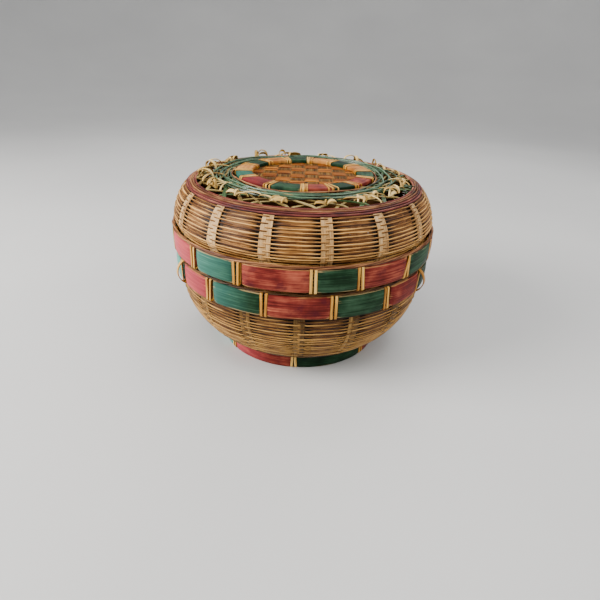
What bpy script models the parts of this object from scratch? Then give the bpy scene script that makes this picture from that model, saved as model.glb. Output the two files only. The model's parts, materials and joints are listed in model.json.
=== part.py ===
"""Lidded split root basket: a round woven body on a foot hoop, and a domed lid that lifts off.

Metres, +Z up. The origin is on the floor under the middle of the basket, and -Y is its front.
Azimuths are in degrees from the front, and grow towards +X.
"""
import math
from collections import Counter

import bmesh
import bpy

MM = 0.001

# Clearances
GAP = 0.3 * MM            # between two pieces that touch
STRIP_PLAY = 0.4 * MM     # each side of a binding strip, between a painted hoop and the wall
LID_FIT = 0.8 * MM        # between the seat collar and the lid's inner hoop

# Thicknesses of the stock
WEAVE_THICK = 1.6 * MM
STAKE_THICK = 0.9 * MM
BAND_THICK = 2.6 * MM     # painted hoops
INNER_HOOP_THICK = 2.2 * MM
LID_INNER_HOOP_THICK = 2.9 * MM
COLLAR_THICK = 2.0 * MM
STRIP_THICK = 0.7 * MM    # binding strips
MAT_THICK = 1.6 * MM
DISC_THICK = 1.4 * MM
RIM_STRAND_R = 0.6 * MM
SLAT_THICK = 0.8 * MM     # diagonal slats of the openwork

# Painted hoops. The lid's hoops take their radii from the body's, further down
BODY_HOOP_R = 100.0 * MM
BODY_HOOP_LOW = 64.0 * MM
BODY_HOOP_HEIGHT = 16.0 * MM
LID_HOOP_HEIGHT = 15.5 * MM
FOOT_R = 66.0 * MM
FOOT_HEIGHT = 11.2 * MM
TOP_HOOP_WIDTH = 12.0 * MM
TOP_HOOP_THICK = 2.0 * MM

# How far the bindings draw a hoop in, and how full its fields stand between them
PINCH = 1.1 * MM
FIELD_BULGE = 0.5 * MM
WRAP_WIDTH = 4.6 * MM
FOOT_WRAP_WIDTH = 5.4 * MM
TOP_WRAP_WIDTH = 4.4 * MM
PINCH_RUN = 5.0 * MM      # length over which a field swells beside its binding

# Bindings: the azimuths seen from the front, and the fields on the rest of the ring
BODY_BINDINGS = (-60.0, -38.5, -13.5, 12.7, 35.5, 58.5)
BODY_HIDDEN_FIELDS = 11
LID_BINDINGS = (-69.0, -46.5, -24.0, 4.5, 22.0, 44.5, 67.0)
LID_HIDDEN_FIELDS = 10
FOOT_BINDINGS = (-35.0, -2.7, 31.0)
FOOT_HIDDEN_FIELDS = 8
TOP_BINDINGS = (-85.0, -60.0, -29.0, 0.0, 22.0, 45.0, 72.0, 100.0)
TOP_HIDDEN_FIELDS = 7

# Body wall
BODY_BULGE_IN = 2.6 * MM   # the bulge lies this far in from the hoop's face
BODY_BULGE_DROP = 4.0 * MM # and this far below its lower edge
BOWL_FULLNESS = 1.6
BOWL_STEPS = 4
LOW_STEPS = 2             # the tight, dark rows at the foot reach this far up the bowl
FOOT_LIP = 2.0 * MM       # level run of the wall where it leaves the base
STAKE_RING_WIDTH = 8.0 * MM

# Seat of the lid
SEAT_RISE = 2.4 * MM      # from the body hoop's upper edge to the seat
SEAT_OPENING = 3.9 * MM   # dark line between the two painted hoops
INNER_HOOP_DEPTH = 16.0 * MM
COLLAR_BELOW = 12.0 * MM
COLLAR_ABOVE = 8.5 * MM

# Lid wall and top
LID_BULGE_IN = 1.2 * MM   # the bulge lies this far in from the lid hoop's face
LID_BULGE_RISE = 6.6 * MM # and this far above its upper edge
SHOULDER_RUN = 18.5 * MM  # from the bulge in to the shoulder
SHOULDER_RISE = 26.2 * MM # and up to it
DOME_FULLNESS = 1.3
DOME_STEPS = 3
DYED_ANGLE = 67.0         # where the dyed rows of the shoulder begin on the dome's curve
LID_ROWS = 13             # woven rows between the lid hoop and the dyed rows
ROW_RELIEF = 0.7 * MM     # depth of the valley between two woven rows
LEDGE_WIDTH = 4.0 * MM    # the lid stakes run on this far under the openwork

# Openwork between the shoulder and the top hoop
OPENWORK_WIDTH = 29.5 * MM
SLATS = 24
SLAT_WIDTH = 1.8 * MM
SLAT_LEAN = 32.0          # degrees that a slat sweeps from rim to hub
OPENWORK_RIM_WIDTH = 2.6 * MM
OPENWORK_RISE = 0.9 * MM  # how much higher the hub stands than the rim

# Plaited green wreath
WREATH_STRANDS = 3
WREATH_OUT = 7.4 * MM     # from the top hoop's edge to the middle of the wreath
WREATH_SWING = 4.6 * MM
WREATH_WAVES = 6
WREATH_STRAND_R = 0.65 * MM
WREATH_LIFT = 1.1 * MM
WREATH_POINTS = 48

# Cream loops round the openwork
CURLS = 16
CURL_START = -12.0
CURL_IN = 6.5 * MM        # from the shoulder in to the middle of a loop
CURL_LENGTH = 8.4 * MM
CURL_WIDTH = 10.0 * MM
CURL_STRAND_R = 0.7 * MM
CURL_RISE = 1.6 * MM
CURL_POINTS = 8

STAKES = 32
STAKE_WIDTH = 5.2         # degrees
SIDES = 40                # sides of the plain rings
RIM_STRAND_SIDES = 4

# Sizes that follow from the ones above
BASE_Z = FOOT_HEIGHT + GAP
BODY_HOOP_HIGH = BODY_HOOP_LOW + BODY_HOOP_HEIGHT
SEAT_Z = BODY_HOOP_HIGH + SEAT_RISE
LID_HOOP_LOW = BODY_HOOP_HIGH + SEAT_OPENING
LID_HOOP_HIGH = LID_HOOP_LOW + LID_HOOP_HEIGHT
WALL_IN = BAND_THICK + STRIP_PLAY + STRIP_THICK + STRIP_PLAY
STAKE_DEPTH = WEAVE_THICK + GAP
STAKES_IN = STAKE_DEPTH + STAKE_THICK + GAP
COLLAR_OUT_R = BODY_HOOP_R - WALL_IN - STAKES_IN - INNER_HOOP_THICK - GAP
LID_INNER_R = COLLAR_OUT_R + LID_FIT + LID_INNER_HOOP_THICK
LID_HOOP_R = LID_INNER_R + STAKES_IN + WALL_IN
BODY_BULGE_R = BODY_HOOP_R - BODY_BULGE_IN
BODY_BULGE_Z = BODY_HOOP_LOW - BODY_BULGE_DROP
LID_BULGE_R = LID_HOOP_R - LID_BULGE_IN
LID_BULGE_Z = LID_HOOP_HIGH + LID_BULGE_RISE
SHOULDER_R = LID_BULGE_R - SHOULDER_RUN
SHOULDER_Z = LID_BULGE_Z + SHOULDER_RISE
TOP_HOOP_R = SHOULDER_R - OPENWORK_WIDTH
HUB_R = TOP_HOOP_R + GAP
WREATH_R = TOP_HOOP_R + WREATH_OUT
CURL_R = SHOULDER_R - CURL_IN
LATTICE_LOW = SHOULDER_Z - WEAVE_THICK
LATTICE_HIGH = LATTICE_LOW + SLAT_THICK + GAP
RIM_TOP = LATTICE_HIGH + SLAT_THICK
HUB_TOP = RIM_TOP + OPENWORK_RISE
DISC_LOW = HUB_TOP - DISC_THICK
TOP_HOOP_LOW = HUB_TOP + STRIP_PLAY + STRIP_THICK + STRIP_PLAY

# Colours, as linear red, green and blue
COLOURS = {
    "red_paint": (0.25, 0.055, 0.04),
    "green_paint": (0.05, 0.12, 0.09),
    "root_brown": (0.42, 0.23, 0.10),
    "root_pale": (0.70, 0.50, 0.28),
    "root_dark": (0.30, 0.13, 0.05),
    "dyed_red": (0.28, 0.08, 0.06),
    "binding_yellow": (0.72, 0.48, 0.18),
    "loop_cream": (0.68, 0.55, 0.34),
    "dyed_green": (0.09, 0.18, 0.13),
}


def clear_scene():
    for old in list(bpy.data.objects):
        bpy.data.objects.remove(old, do_unlink=True)


def material(name):
    """A matt Principled BSDF in one of the named colours."""
    found = bpy.data.materials.get(name)
    if found:
        return found
    made = bpy.data.materials.new(name)
    made.use_nodes = True
    shader = made.node_tree.nodes["Principled BSDF"]
    shader.inputs["Base Color"].default_value = (*COLOURS[name], 1.0)
    shader.inputs["Roughness"].default_value = 0.6
    shader.inputs["Metallic"].default_value = 0.0
    return made


def polar(radius, azimuth, height):
    """A point at an azimuth in degrees from the front."""
    angle = math.radians(azimuth)
    return (radius * math.sin(angle), -radius * math.cos(angle), height)


def finish(name, mesh, colours):
    """Turn a bmesh into a named object with its faces pointing out."""
    bmesh.ops.recalc_face_normals(mesh, faces=mesh.faces)
    data = bpy.data.meshes.new(name)
    mesh.to_mesh(data)
    mesh.free()
    for colour in colours:
        data.materials.append(material(colour))
    data.shade_smooth()
    data.set_sharp_from_angle(angle=math.radians(35.0))
    made = bpy.data.objects.new(name, data)
    bpy.context.collection.objects.link(made)
    return made


def ring(name, azimuths, section, colours, colour_of=None):
    """A closed ring whose cross-section, a list of (radius, height), may change with the azimuth."""
    mesh = bmesh.new()
    loops = []
    for azimuth in azimuths:
        loops.append([mesh.verts.new(polar(r, azimuth, z)) for r, z in section(azimuth)])
    for here, azimuth in enumerate(azimuths):
        after = (here + 1) % len(azimuths)
        for corner in range(len(loops[here])):
            following = (corner + 1) % len(loops[here])
            face = mesh.faces.new((
                loops[here][corner],
                loops[after][corner],
                loops[after][following],
                loops[here][following],
            ))
            face.material_index = colour_of(here) if colour_of else 0
    return finish(name, mesh, colours)


def turned(name, outline, colour, sides=SIDES):
    """A ring of one cross-section all the way round."""
    azimuths = [360.0 * i / sides for i in range(sides)]
    return ring(name, azimuths, lambda azimuth: outline, [colour])


def disc(name, radius, low, thick, colour):
    mesh = bmesh.new()
    bmesh.ops.create_cone(
        mesh, cap_ends=True, segments=SIDES, radius1=radius, radius2=radius, depth=thick)
    bmesh.ops.translate(mesh, verts=mesh.verts, vec=(0.0, 0.0, low + thick / 2))
    return finish(name, mesh, [colour])


def sheet(name, cells, place, colour):
    """A closed solid from four-cornered cells. place(key, side) gives a corner on side 0 or 1."""
    mesh = bmesh.new()
    made = {}

    def corner(key, side):
        if (key, side) not in made:
            made[key, side] = mesh.verts.new(place(key, side))
        return made[key, side]

    def edges(cell):
        return list(zip(cell, cell[1:] + cell[:1]))

    shared = Counter(frozenset(edge) for cell in cells for edge in edges(cell))
    for cell in cells:
        mesh.faces.new([corner(key, 0) for key in cell])
        mesh.faces.new([corner(key, 1) for key in reversed(cell)])
        for a, b in edges(cell):
            if shared[frozenset((a, b))] == 1:
                mesh.faces.new((corner(b, 0), corner(a, 0), corner(a, 1), corner(b, 1)))
    return finish(name, mesh, [colour])


def tube(name, points, radius, colour):
    """A closed loop of round strand through the points."""
    curve = bpy.data.curves.new(name, "CURVE")
    curve.dimensions = "3D"
    curve.twist_mode = "Z_UP"
    curve.bevel_depth = radius
    curve.bevel_resolution = 0
    spline = curve.splines.new("POLY")
    spline.points.add(len(points) - 1)
    for spot, point in zip(spline.points, points):
        spot.co = (*point, 1.0)
    spline.use_cyclic_u = True
    curve.materials.append(material(colour))
    made = bpy.data.objects.new(name, curve)
    bpy.context.collection.objects.link(made)
    return made


def inward(line, depth):
    """A line of (radius, height) moved square to itself, to its left, by depth."""
    moved = []
    for i, (r, z) in enumerate(line):
        before = line[max(i - 1, 0)]
        after = line[min(i + 1, len(line) - 1)]
        here = (r, z)
        normals = []
        for a, b in ((before, here), (here, after)):
            length = math.hypot(b[0] - a[0], b[1] - a[1])
            if length > 0.0:
                normals.append(((a[1] - b[1]) / length, (b[0] - a[0]) / length))
        nr = sum(n[0] for n in normals) / len(normals)
        nz = sum(n[1] for n in normals) / len(normals)
        scale = depth / (nr * nr + nz * nz)
        moved.append((r + nr * scale, z + nz * scale))
    return moved


def from_gap(line):
    """The line without its first short length, so that it clears the piece that ends there."""
    (r0, z0), (r1, z1) = line[:2]
    share = GAP / math.hypot(r1 - r0, z1 - z0)
    return [(r0 + (r1 - r0) * share, z0 + (z1 - z0) * share)] + line[1:]


def all_bindings(seen, hidden_fields):
    """The azimuths of every binding: the ones seen, and even fields round the back."""
    start, end = seen[-1], seen[0] + 360.0
    step = (end - start) / hidden_fields
    return list(seen) + [start + step * i for i in range(1, hidden_fields)]


def spaced(start, end):
    """Even azimuths from start up to but not at end, no further apart than a plain ring's."""
    pieces = max(1, math.ceil((end - start) / (360.0 / SIDES)))
    return [start + (end - start) * i / pieces for i in range(pieces)]


def field_steps(bindings, radius, wrap_width):
    """Azimuths round a hoop, with the pinch at each and the field's number."""
    half = math.degrees((wrap_width / 2 + GAP) / radius)
    run = math.degrees(PINCH_RUN / radius)
    steps = []
    for field, start in enumerate(bindings):
        end = bindings[(field + 1) % len(bindings)]
        end += 360.0 if end < start else 0.0
        steps.append((start + half, 1.0, field))
        full_end = end - half - run
        steps += [(azimuth, 0.0, field) for azimuth in spaced(start + half + run, full_end)]
        steps.append((full_end, 0.0, field))
        steps.append((end - half, 1.0, field))
    return steps


def band_section(r0, r1, z0, z1, pinch):
    """Cross-section of an upright band, full at its middle, with its flat back at r0."""
    face = r1 - pinch
    return [
        (r0, z0 + pinch),
        (face - FIELD_BULGE, z0 + pinch),
        (face, (z0 + z1) / 2),
        (face - FIELD_BULGE, z1 - pinch),
        (r0, z1 - pinch),
    ]


def flat_section(r0, r1, z0, z1, pinch):
    """Cross-section of a band that lies flat, full at its middle, with its flat back at z0."""
    face = z1 - pinch
    return [
        (r0 + pinch, z0),
        (r1 - pinch, z0),
        (r1 - pinch, face - FIELD_BULGE),
        ((r0 + r1) / 2, face),
        (r0 + pinch, face - FIELD_BULGE),
    ]


def painted_hoop(name, box, bindings, wrap_width, section, colours):
    """A painted hoop with one swelling field between each two bindings."""
    steps = field_steps(bindings, box[1], wrap_width)
    pinch_at = {azimuth: pinch * PINCH for azimuth, pinch, field in steps}
    azimuths = [azimuth for azimuth, pinch, field in steps]

    def colour_of(step):
        return steps[step][2] % len(colours)

    return ring(name, azimuths, lambda azimuth: section(*box, pinch_at[azimuth]), colours, colour_of)


def binding(name, box, bindings, wrap_width, back, colour):
    """One strip run round behind a hoop, and wrapped about it at each binding.

    The corners of a wrap are 0 inside low, 1 outside low, 2 outside high and 3 inside high. back
    is the pair of corners that the run behind the hoop lies between.
    """
    r0, r1, z0, z1 = box
    half = math.degrees(wrap_width / 2 / r1)
    azimuths = []
    wrapped = []
    for here, start in enumerate(bindings):
        end = bindings[(here + 1) % len(bindings)]
        end += 360.0 if end < start else 0.0
        run = spaced(start + half, end - half)
        azimuths += [start - half] + run
        wrapped += [True] + [False] * len(run)

    tight = PINCH - GAP
    inner = r0 - STRIP_PLAY if back == (3, 0) else r0 + tight
    lower = z0 - STRIP_PLAY if back == (0, 1) else z0 + tight

    def place(key, side):
        step, corner = key
        thick = STRIP_THICK if side == 0 else 0.0
        r = r1 - tight + thick if corner in (1, 2) else inner - thick
        z = z1 - tight + thick if corner in (2, 3) else lower - thick
        return polar(r, azimuths[step], z)

    cells = []
    for step, is_wrap in enumerate(wrapped):
        after = (step + 1) % len(azimuths)
        pairs = [(0, 1), (1, 2), (2, 3), (3, 0)] if is_wrap else [back]
        for low, high in pairs:
            cells.append([(step, low), (after, low), (after, high), (step, high)])
    return sheet(name, cells, place, colour)


def bowl_line():
    """Outside of the body wall, from the base up to the bulge and on behind the painted hoop."""
    start = FOOT_R + FOOT_LIP
    line = [(FOOT_R + GAP, BASE_Z)]
    for i in range(BOWL_STEPS + 1):
        turn = math.pi / 2 * i / BOWL_STEPS
        r = start + (BODY_BULGE_R - start) * math.sin(turn) ** BOWL_FULLNESS
        z = BASE_Z + (BODY_BULGE_Z - BASE_Z) * (1.0 - math.cos(turn))
        line.append((r, z))
    behind = BODY_HOOP_R - WALL_IN
    line.append((behind, BODY_HOOP_LOW - GAP))
    line.append((behind, BODY_HOOP_HIGH + GAP))
    return line


def dome_point(turn):
    """A point of the lid's outside, where turn runs from 0 at the bulge to 90 at the shoulder."""
    angle = math.radians(turn)
    r = LID_BULGE_R - (LID_BULGE_R - SHOULDER_R) * (1.0 - math.cos(angle))
    z = LID_BULGE_Z + (SHOULDER_Z - LID_BULGE_Z) * math.sin(angle) ** DOME_FULLNESS
    return (r, z)


def lid_line():
    """Outside of the plain part of the lid wall, from behind its hoop up to the dyed rows."""
    behind = LID_HOOP_R - WALL_IN
    over_hoop = LID_HOOP_HIGH + GAP + 2 * RIM_STRAND_R + GAP
    line = [(behind, LID_HOOP_LOW), (behind, over_hoop)]
    line += [dome_point(DYED_ANGLE * i / DOME_STEPS) for i in range(DOME_STEPS + 1)]
    return line


def lid_rows():
    """The lid's outside between its hoop and the dyed rows, as a ridge for each woven row."""
    over_hoop = lid_line()[1]
    curve = [over_hoop] + [dome_point(DYED_ANGLE * i / 24) for i in range(25)]
    reached = [0.0]
    for a, b in zip(curve, curve[1:]):
        reached.append(reached[-1] + math.dist(a, b))
    ridges = []
    for i in range(2 * LID_ROWS + 1):
        distance = reached[-1] * i / (2 * LID_ROWS)
        step = max(k for k in range(25) if reached[k] <= distance)
        share = (distance - reached[step]) / (reached[step + 1] - reached[step])
        (r0, z0), (r1, z1) = curve[step:step + 2]
        ridges.append((r0 + (r1 - r0) * share, z0 + (z1 - z0) * share))
    valleys = inward(ridges, ROW_RELIEF)
    for i in range(2, 2 * LID_ROWS, 2):
        ridges[i] = valleys[i]
    return ridges


def dyed_line():
    """Outside of the dyed shoulder."""
    return [dome_point(DYED_ANGLE), dome_point(90.0)]


def stakes(name, outside, kept, ring_end, colour):
    """Stakes inside a wall, joined by a ring at one end.

    outside is the wall's outer line. The stakes bend only at its kept points, which leaves the
    hollow side of the wall clear of them.
    """
    near = [inward(outside, STAKE_DEPTH)[i] for i in kept]
    far = [inward(outside, STAKE_DEPTH + STAKE_THICK)[i] for i in kept]
    level = 0 if ring_end == "start" else len(kept) - 1
    ring_width = -STAKE_RING_WIDTH if ring_end == "start" else -LEDGE_WIDTH
    sides = [near, far]

    def place(key, side):
        step, row = key
        stake, edge = divmod(step, 2)
        azimuth = 360.0 * stake / STAKES + STAKE_WIDTH * (edge - 0.5)
        if row == "ring":
            r, z = sides[side][level]
            return polar(r + ring_width, azimuth, z)
        r, z = sides[side][row]
        return polar(r, azimuth, z)

    cells = []
    for step in range(2 * STAKES):
        after = (step + 1) % (2 * STAKES)
        cells.append([(step, "ring"), (after, "ring"), (after, level), (step, level)])
        if step % 2 == 0:
            for row in range(len(kept) - 1):
                cells.append([(step, row), (after, row), (after, row + 1), (step, row + 1)])
    return sheet(name, cells, place, colour)


def openwork(name, rim_r, low, lean, colour):
    """One layer of the openwork: slats that all lean one way, between a rim and a hub ring."""
    rim_in = rim_r - OPENWORK_RIM_WIDTH
    hub_out = HUB_R + OPENWORK_RIM_WIDTH
    radii = {"rim": rim_r, "slat_out": rim_in, "slat_in": hub_out, "hub": HUB_R}
    sweep = abs(math.radians(lean))
    length = math.sqrt(rim_in ** 2 + hub_out ** 2 - 2 * rim_in * hub_out * math.cos(sweep))
    # a slat meets rim and hub at a slant, and its foot is as much longer than its width
    foot_out = SLAT_WIDTH * length / (rim_in - hub_out * math.cos(sweep))
    foot_in = SLAT_WIDTH * length / (rim_in * math.cos(sweep) - hub_out)
    feet = {"rim": foot_out, "slat_out": foot_out, "slat_in": foot_in, "hub": foot_in}
    leans = {"rim": 0.0, "slat_out": 0.0, "slat_in": lean, "hub": lean}

    def place(key, side):
        step, row = key
        slat, edge = divmod(step, 2)
        r = radii[row]
        along = (rim_r - r) / (rim_r - HUB_R)
        spread = math.degrees(feet[row] / r)
        azimuth = 360.0 * slat / SLATS + leans[row] + spread * (edge - 0.5)
        height = low + OPENWORK_RISE * along + (SLAT_THICK if side == 0 else 0.0)
        return polar(r, azimuth, height)

    cells = []
    for step in range(2 * SLATS):
        after = (step + 1) % (2 * SLATS)
        rows = [("rim", "slat_out"), ("slat_in", "hub")]
        if step % 2 == 0:
            rows.append(("slat_out", "slat_in"))
        for outer, inner in rows:
            cells.append([(step, outer), (after, outer), (after, inner), (step, inner)])
    return sheet(name, cells, place, colour)


def wreath_strand(number):
    """One of the plaited strands: it swings in and out, and over and under the other two."""
    shift = 2.0 * math.pi * number / WREATH_STRANDS
    middle = HUB_TOP + GAP + WREATH_STRAND_R + WREATH_LIFT
    points = []
    for i in range(WREATH_POINTS):
        azimuth = 360.0 * i / WREATH_POINTS
        phase = math.radians(azimuth) * WREATH_WAVES + shift
        r = WREATH_R + WREATH_SWING * math.sin(phase)
        points.append(polar(r, azimuth, middle + WREATH_LIFT * math.sin(2.0 * phase)))
    return tube(f"wreath_strand_{number + 1}", points, WREATH_STRAND_R, "dyed_green")


def curl(number):
    """One cream loop with its outer end on the openwork's rim and its inner end raised."""
    azimuth = CURL_START + 360.0 * number / CURLS
    along = math.radians(azimuth)
    seat = RIM_TOP + GAP + CURL_STRAND_R
    points = []
    for i in range(CURL_POINTS):
        turn = 2.0 * math.pi * i / CURL_POINTS
        r = CURL_R + CURL_LENGTH / 2 * math.cos(turn)
        side = CURL_WIDTH / 2 * math.sin(turn)
        z = seat + CURL_RISE * (1.0 - math.cos(turn)) / 2
        points.append((
            r * math.sin(along) + side * math.cos(along),
            -r * math.cos(along) + side * math.sin(along),
            z,
        ))
    return tube(f"curl_{number + 1:02d}", points, CURL_STRAND_R, "loop_cream")


def strand_section(radius, height):
    """Cross-section of a round strand laid along the upper edge of a painted hoop."""
    section = []
    for i in range(RIM_STRAND_SIDES):
        turn = 2.0 * math.pi * i / RIM_STRAND_SIDES
        section.append((
            radius + RIM_STRAND_R * math.cos(turn), height + RIM_STRAND_R * math.sin(turn)))
    return section


def build_body():
    """The lower half, from the foot to the seat of the lid."""
    parts = []
    foot_box = (FOOT_R - BAND_THICK, FOOT_R, 0.0, FOOT_HEIGHT)
    foot_bindings = all_bindings(FOOT_BINDINGS, FOOT_HIDDEN_FIELDS)
    parts.append(painted_hoop(
        "foot_hoop", foot_box, foot_bindings, FOOT_WRAP_WIDTH, band_section,
        ["red_paint", "green_paint"]))
    parts.append(binding(
        "foot_binding", foot_box, foot_bindings, FOOT_WRAP_WIDTH, (3, 0), "binding_yellow"))
    parts.append(disc("base_mat", FOOT_R - GAP, BASE_Z, MAT_THICK, "root_dark"))

    line = bowl_line()
    inside = inward(line, WEAVE_THICK)
    seam = LOW_STEPS + 1
    low_inside = inside[seam::-1]
    parts.append(turned("body_weave_low", line[:seam + 1] + low_inside, "root_dark"))
    upper_out = from_gap(line[seam:])
    upper_in = from_gap(inside[seam:])
    parts.append(turned("body_weave", upper_out + upper_in[::-1], "root_brown"))
    bulge = BOWL_STEPS + 1
    kept = [0] + list(range(2, bulge)) + [bulge + 1, bulge + 2]
    parts.append(stakes("body_stakes", line, kept, "start", "root_pale"))

    hoop_box = (BODY_HOOP_R - BAND_THICK, BODY_HOOP_R, BODY_HOOP_LOW, BODY_HOOP_HIGH)
    hoop_bindings = all_bindings(BODY_BINDINGS, BODY_HIDDEN_FIELDS)
    parts.append(painted_hoop(
        "body_hoop", hoop_box, hoop_bindings, WRAP_WIDTH, band_section,
        ["red_paint", "green_paint"]))
    parts.append(binding(
        "body_hoop_binding", hoop_box, hoop_bindings, WRAP_WIDTH, (3, 0), "binding_yellow"))
    strand_z = BODY_HOOP_HIGH + GAP + RIM_STRAND_R
    strand = strand_section(BODY_HOOP_R - BAND_THICK / 2, strand_z)
    parts.append(turned("body_rim_strand", strand, "root_pale"))

    inner_in = COLLAR_OUT_R + GAP
    inner_out = inner_in + INNER_HOOP_THICK
    top = SEAT_Z - GAP / 2
    parts.append(turned("body_inner_hoop", [
        (inner_in, SEAT_Z - INNER_HOOP_DEPTH), (inner_out, SEAT_Z - INNER_HOOP_DEPTH),
        (inner_out, top), (inner_in, top)], "root_brown"))
    collar_in = COLLAR_OUT_R - COLLAR_THICK
    parts.append(turned("seat_collar", [
        (collar_in, SEAT_Z - COLLAR_BELOW), (COLLAR_OUT_R, SEAT_Z - COLLAR_BELOW),
        (COLLAR_OUT_R, SEAT_Z + COLLAR_ABOVE), (collar_in, SEAT_Z + COLLAR_ABOVE)], "root_pale"))
    return parts


def build_lid():
    """The upper half, from its inner hoop to the disc at the top."""
    parts = []
    plain = lid_line()
    outside = plain + dyed_line()[1:]
    inside = inward(outside, WEAVE_THICK)
    seam = len(plain)
    ribbed = [outside[0]] + lid_rows()
    parts.append(turned("lid_weave", ribbed + inside[seam - 1::-1], "root_brown"))
    dyed_out = from_gap(outside[seam - 1:])
    dyed_in = from_gap(inside[seam - 1:])
    parts.append(turned("lid_red_weave", dyed_out + dyed_in[::-1], "dyed_red"))
    kept = [0, 1] + list(range(3, len(outside)))
    parts.append(stakes("lid_stakes", outside, kept, "end", "root_pale"))

    hoop_box = (LID_HOOP_R - BAND_THICK, LID_HOOP_R, LID_HOOP_LOW, LID_HOOP_HIGH)
    hoop_bindings = all_bindings(LID_BINDINGS, LID_HIDDEN_FIELDS)
    parts.append(painted_hoop(
        "lid_hoop", hoop_box, hoop_bindings, WRAP_WIDTH, band_section,
        ["red_paint", "green_paint"]))
    parts.append(binding(
        "lid_hoop_binding", hoop_box, hoop_bindings, WRAP_WIDTH, (3, 0), "binding_yellow"))
    strand_z = LID_HOOP_HIGH + GAP + RIM_STRAND_R
    strand = strand_section(LID_HOOP_R - GAP, strand_z)
    parts.append(turned("lid_rim_strand", strand, "dyed_red"))

    inner_in = LID_INNER_R - LID_INNER_HOOP_THICK
    low = SEAT_Z + GAP / 2
    parts.append(turned("lid_inner_hoop", [
        (inner_in, low), (LID_INNER_R, low), (LID_INNER_R, low + INNER_HOOP_DEPTH),
        (inner_in, low + INNER_HOOP_DEPTH)], "root_brown"))

    rim_r = inside[-1][0] - GAP
    parts.append(openwork("openwork_lower", rim_r, LATTICE_LOW, SLAT_LEAN, "loop_cream"))
    parts.append(openwork("openwork_upper", rim_r, LATTICE_HIGH, -SLAT_LEAN, "loop_cream"))
    parts += [wreath_strand(number) for number in range(WREATH_STRANDS)]
    parts += [curl(number) for number in range(CURLS)]

    parts.append(disc("top_disc", TOP_HOOP_R, DISC_LOW, DISC_THICK, "root_dark"))
    top_box = (TOP_HOOP_R - TOP_HOOP_WIDTH, TOP_HOOP_R, TOP_HOOP_LOW, TOP_HOOP_LOW + TOP_HOOP_THICK)
    top_bindings = all_bindings(TOP_BINDINGS, TOP_HIDDEN_FIELDS)
    parts.append(painted_hoop(
        "top_hoop", top_box, top_bindings, TOP_WRAP_WIDTH, flat_section,
        ["green_paint", "red_paint"]))
    parts.append(binding(
        "top_hoop_binding", top_box, top_bindings, TOP_WRAP_WIDTH, (0, 1), "binding_yellow"))
    return parts


def carry(parts, name, height):
    """Hang the parts on an empty on the basket's axis, without moving them."""
    holder = bpy.data.objects.new(name, None)
    holder.location = (0.0, 0.0, height)
    bpy.context.collection.objects.link(holder)
    bpy.context.view_layer.update()
    for made in parts:
        made.parent = holder
        made.matrix_parent_inverse = holder.matrix_world.inverted()


clear_scene()
carry(build_body(), "basket_frame", 0.0)
carry(build_lid(), "lid_lift", SEAT_Z)
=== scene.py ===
# %% [markdown]
# # A lidded basket of split root
#
# The real basket is made of three things: flat stakes that stand up the wall, long split roots
# woven round them, and hoops of painted splint that are lashed on with strips of bare root. This
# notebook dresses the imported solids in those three, strand by strand. We start by loading the
# solids. Each one is a fixed frame: new pieces take their place and size from it and then stand
# in its stead.

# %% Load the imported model
import json
import math
from contextlib import contextmanager

import bmesh
import bpy
import numpy as np
from mathutils import Matrix, Vector, noise

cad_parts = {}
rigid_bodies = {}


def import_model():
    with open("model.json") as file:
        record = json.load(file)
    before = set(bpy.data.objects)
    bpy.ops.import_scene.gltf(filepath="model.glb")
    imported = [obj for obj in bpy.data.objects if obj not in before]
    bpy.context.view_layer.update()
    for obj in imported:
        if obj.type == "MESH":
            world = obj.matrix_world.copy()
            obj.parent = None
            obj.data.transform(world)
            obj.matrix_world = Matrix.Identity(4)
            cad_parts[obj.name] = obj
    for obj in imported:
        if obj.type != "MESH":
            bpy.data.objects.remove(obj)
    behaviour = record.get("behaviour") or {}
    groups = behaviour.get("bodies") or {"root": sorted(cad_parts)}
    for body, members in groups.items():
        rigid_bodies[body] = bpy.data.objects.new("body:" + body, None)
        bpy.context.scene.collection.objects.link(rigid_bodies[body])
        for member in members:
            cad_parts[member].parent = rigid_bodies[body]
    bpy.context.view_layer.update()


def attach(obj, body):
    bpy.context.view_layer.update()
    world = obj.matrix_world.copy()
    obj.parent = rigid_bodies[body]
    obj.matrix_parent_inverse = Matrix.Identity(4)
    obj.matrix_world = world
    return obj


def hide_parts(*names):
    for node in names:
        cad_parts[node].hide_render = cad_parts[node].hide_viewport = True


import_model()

MM = 0.001

# %% [markdown]
# ## The camera
#
# The photograph was taken by hand with the wide lens of a phone, close to the basket and tipped a
# little. A camera in Blender looks down its own -Z. So we stand it upright, tip it down, and then
# roll it about its own axis, which gives the same slant of the hoops as the photograph has.

# %% Place the camera
TIP_DOWN, ROLL = 28.55, 2.12   # degrees

tip_down = Matrix.Rotation(math.radians(90.0 - TIP_DOWN), 3, "X")
roll = Matrix.Rotation(math.radians(ROLL), 3, "Z")
bpy.ops.object.camera_add(
    location=(0.0, -348.3 * MM, 213.5 * MM), rotation=(tip_down @ roll).to_euler())
camera = bpy.context.object
camera.data.lens = 27.0
camera.data.sensor_width = 36.0
camera.data.clip_start = 0.01
bpy.context.scene.camera = camera
print("camera at", [round(c, 3) for c in camera.location])

# %% [markdown]
# ## Soft studio light on a pale floor
#
# Daylight falls on the basket from a window at its upper left, and the right side is darker. A
# large area lamp gives the same soft edge to the shadows as a window does, because each point of
# the floor still sees a part of it. Three weaker ones lighten the shadows, three more wash the
# paper backdrop that stands all round, and a pale sky fills in the rest.

# %% Light the scene
def window(name, place, target, size, power, colour):
    """A square area lamp that faces a target. size is in metres and power in watts."""
    aim = (Vector(target) - Vector(place)).to_track_quat("-Z", "Y").to_euler()
    bpy.ops.object.light_add(type="AREA", location=place, rotation=aim)
    lamp = bpy.context.object
    lamp.name = name
    lamp.data.size = size
    lamp.data.energy = power
    lamp.data.color = colour


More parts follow.
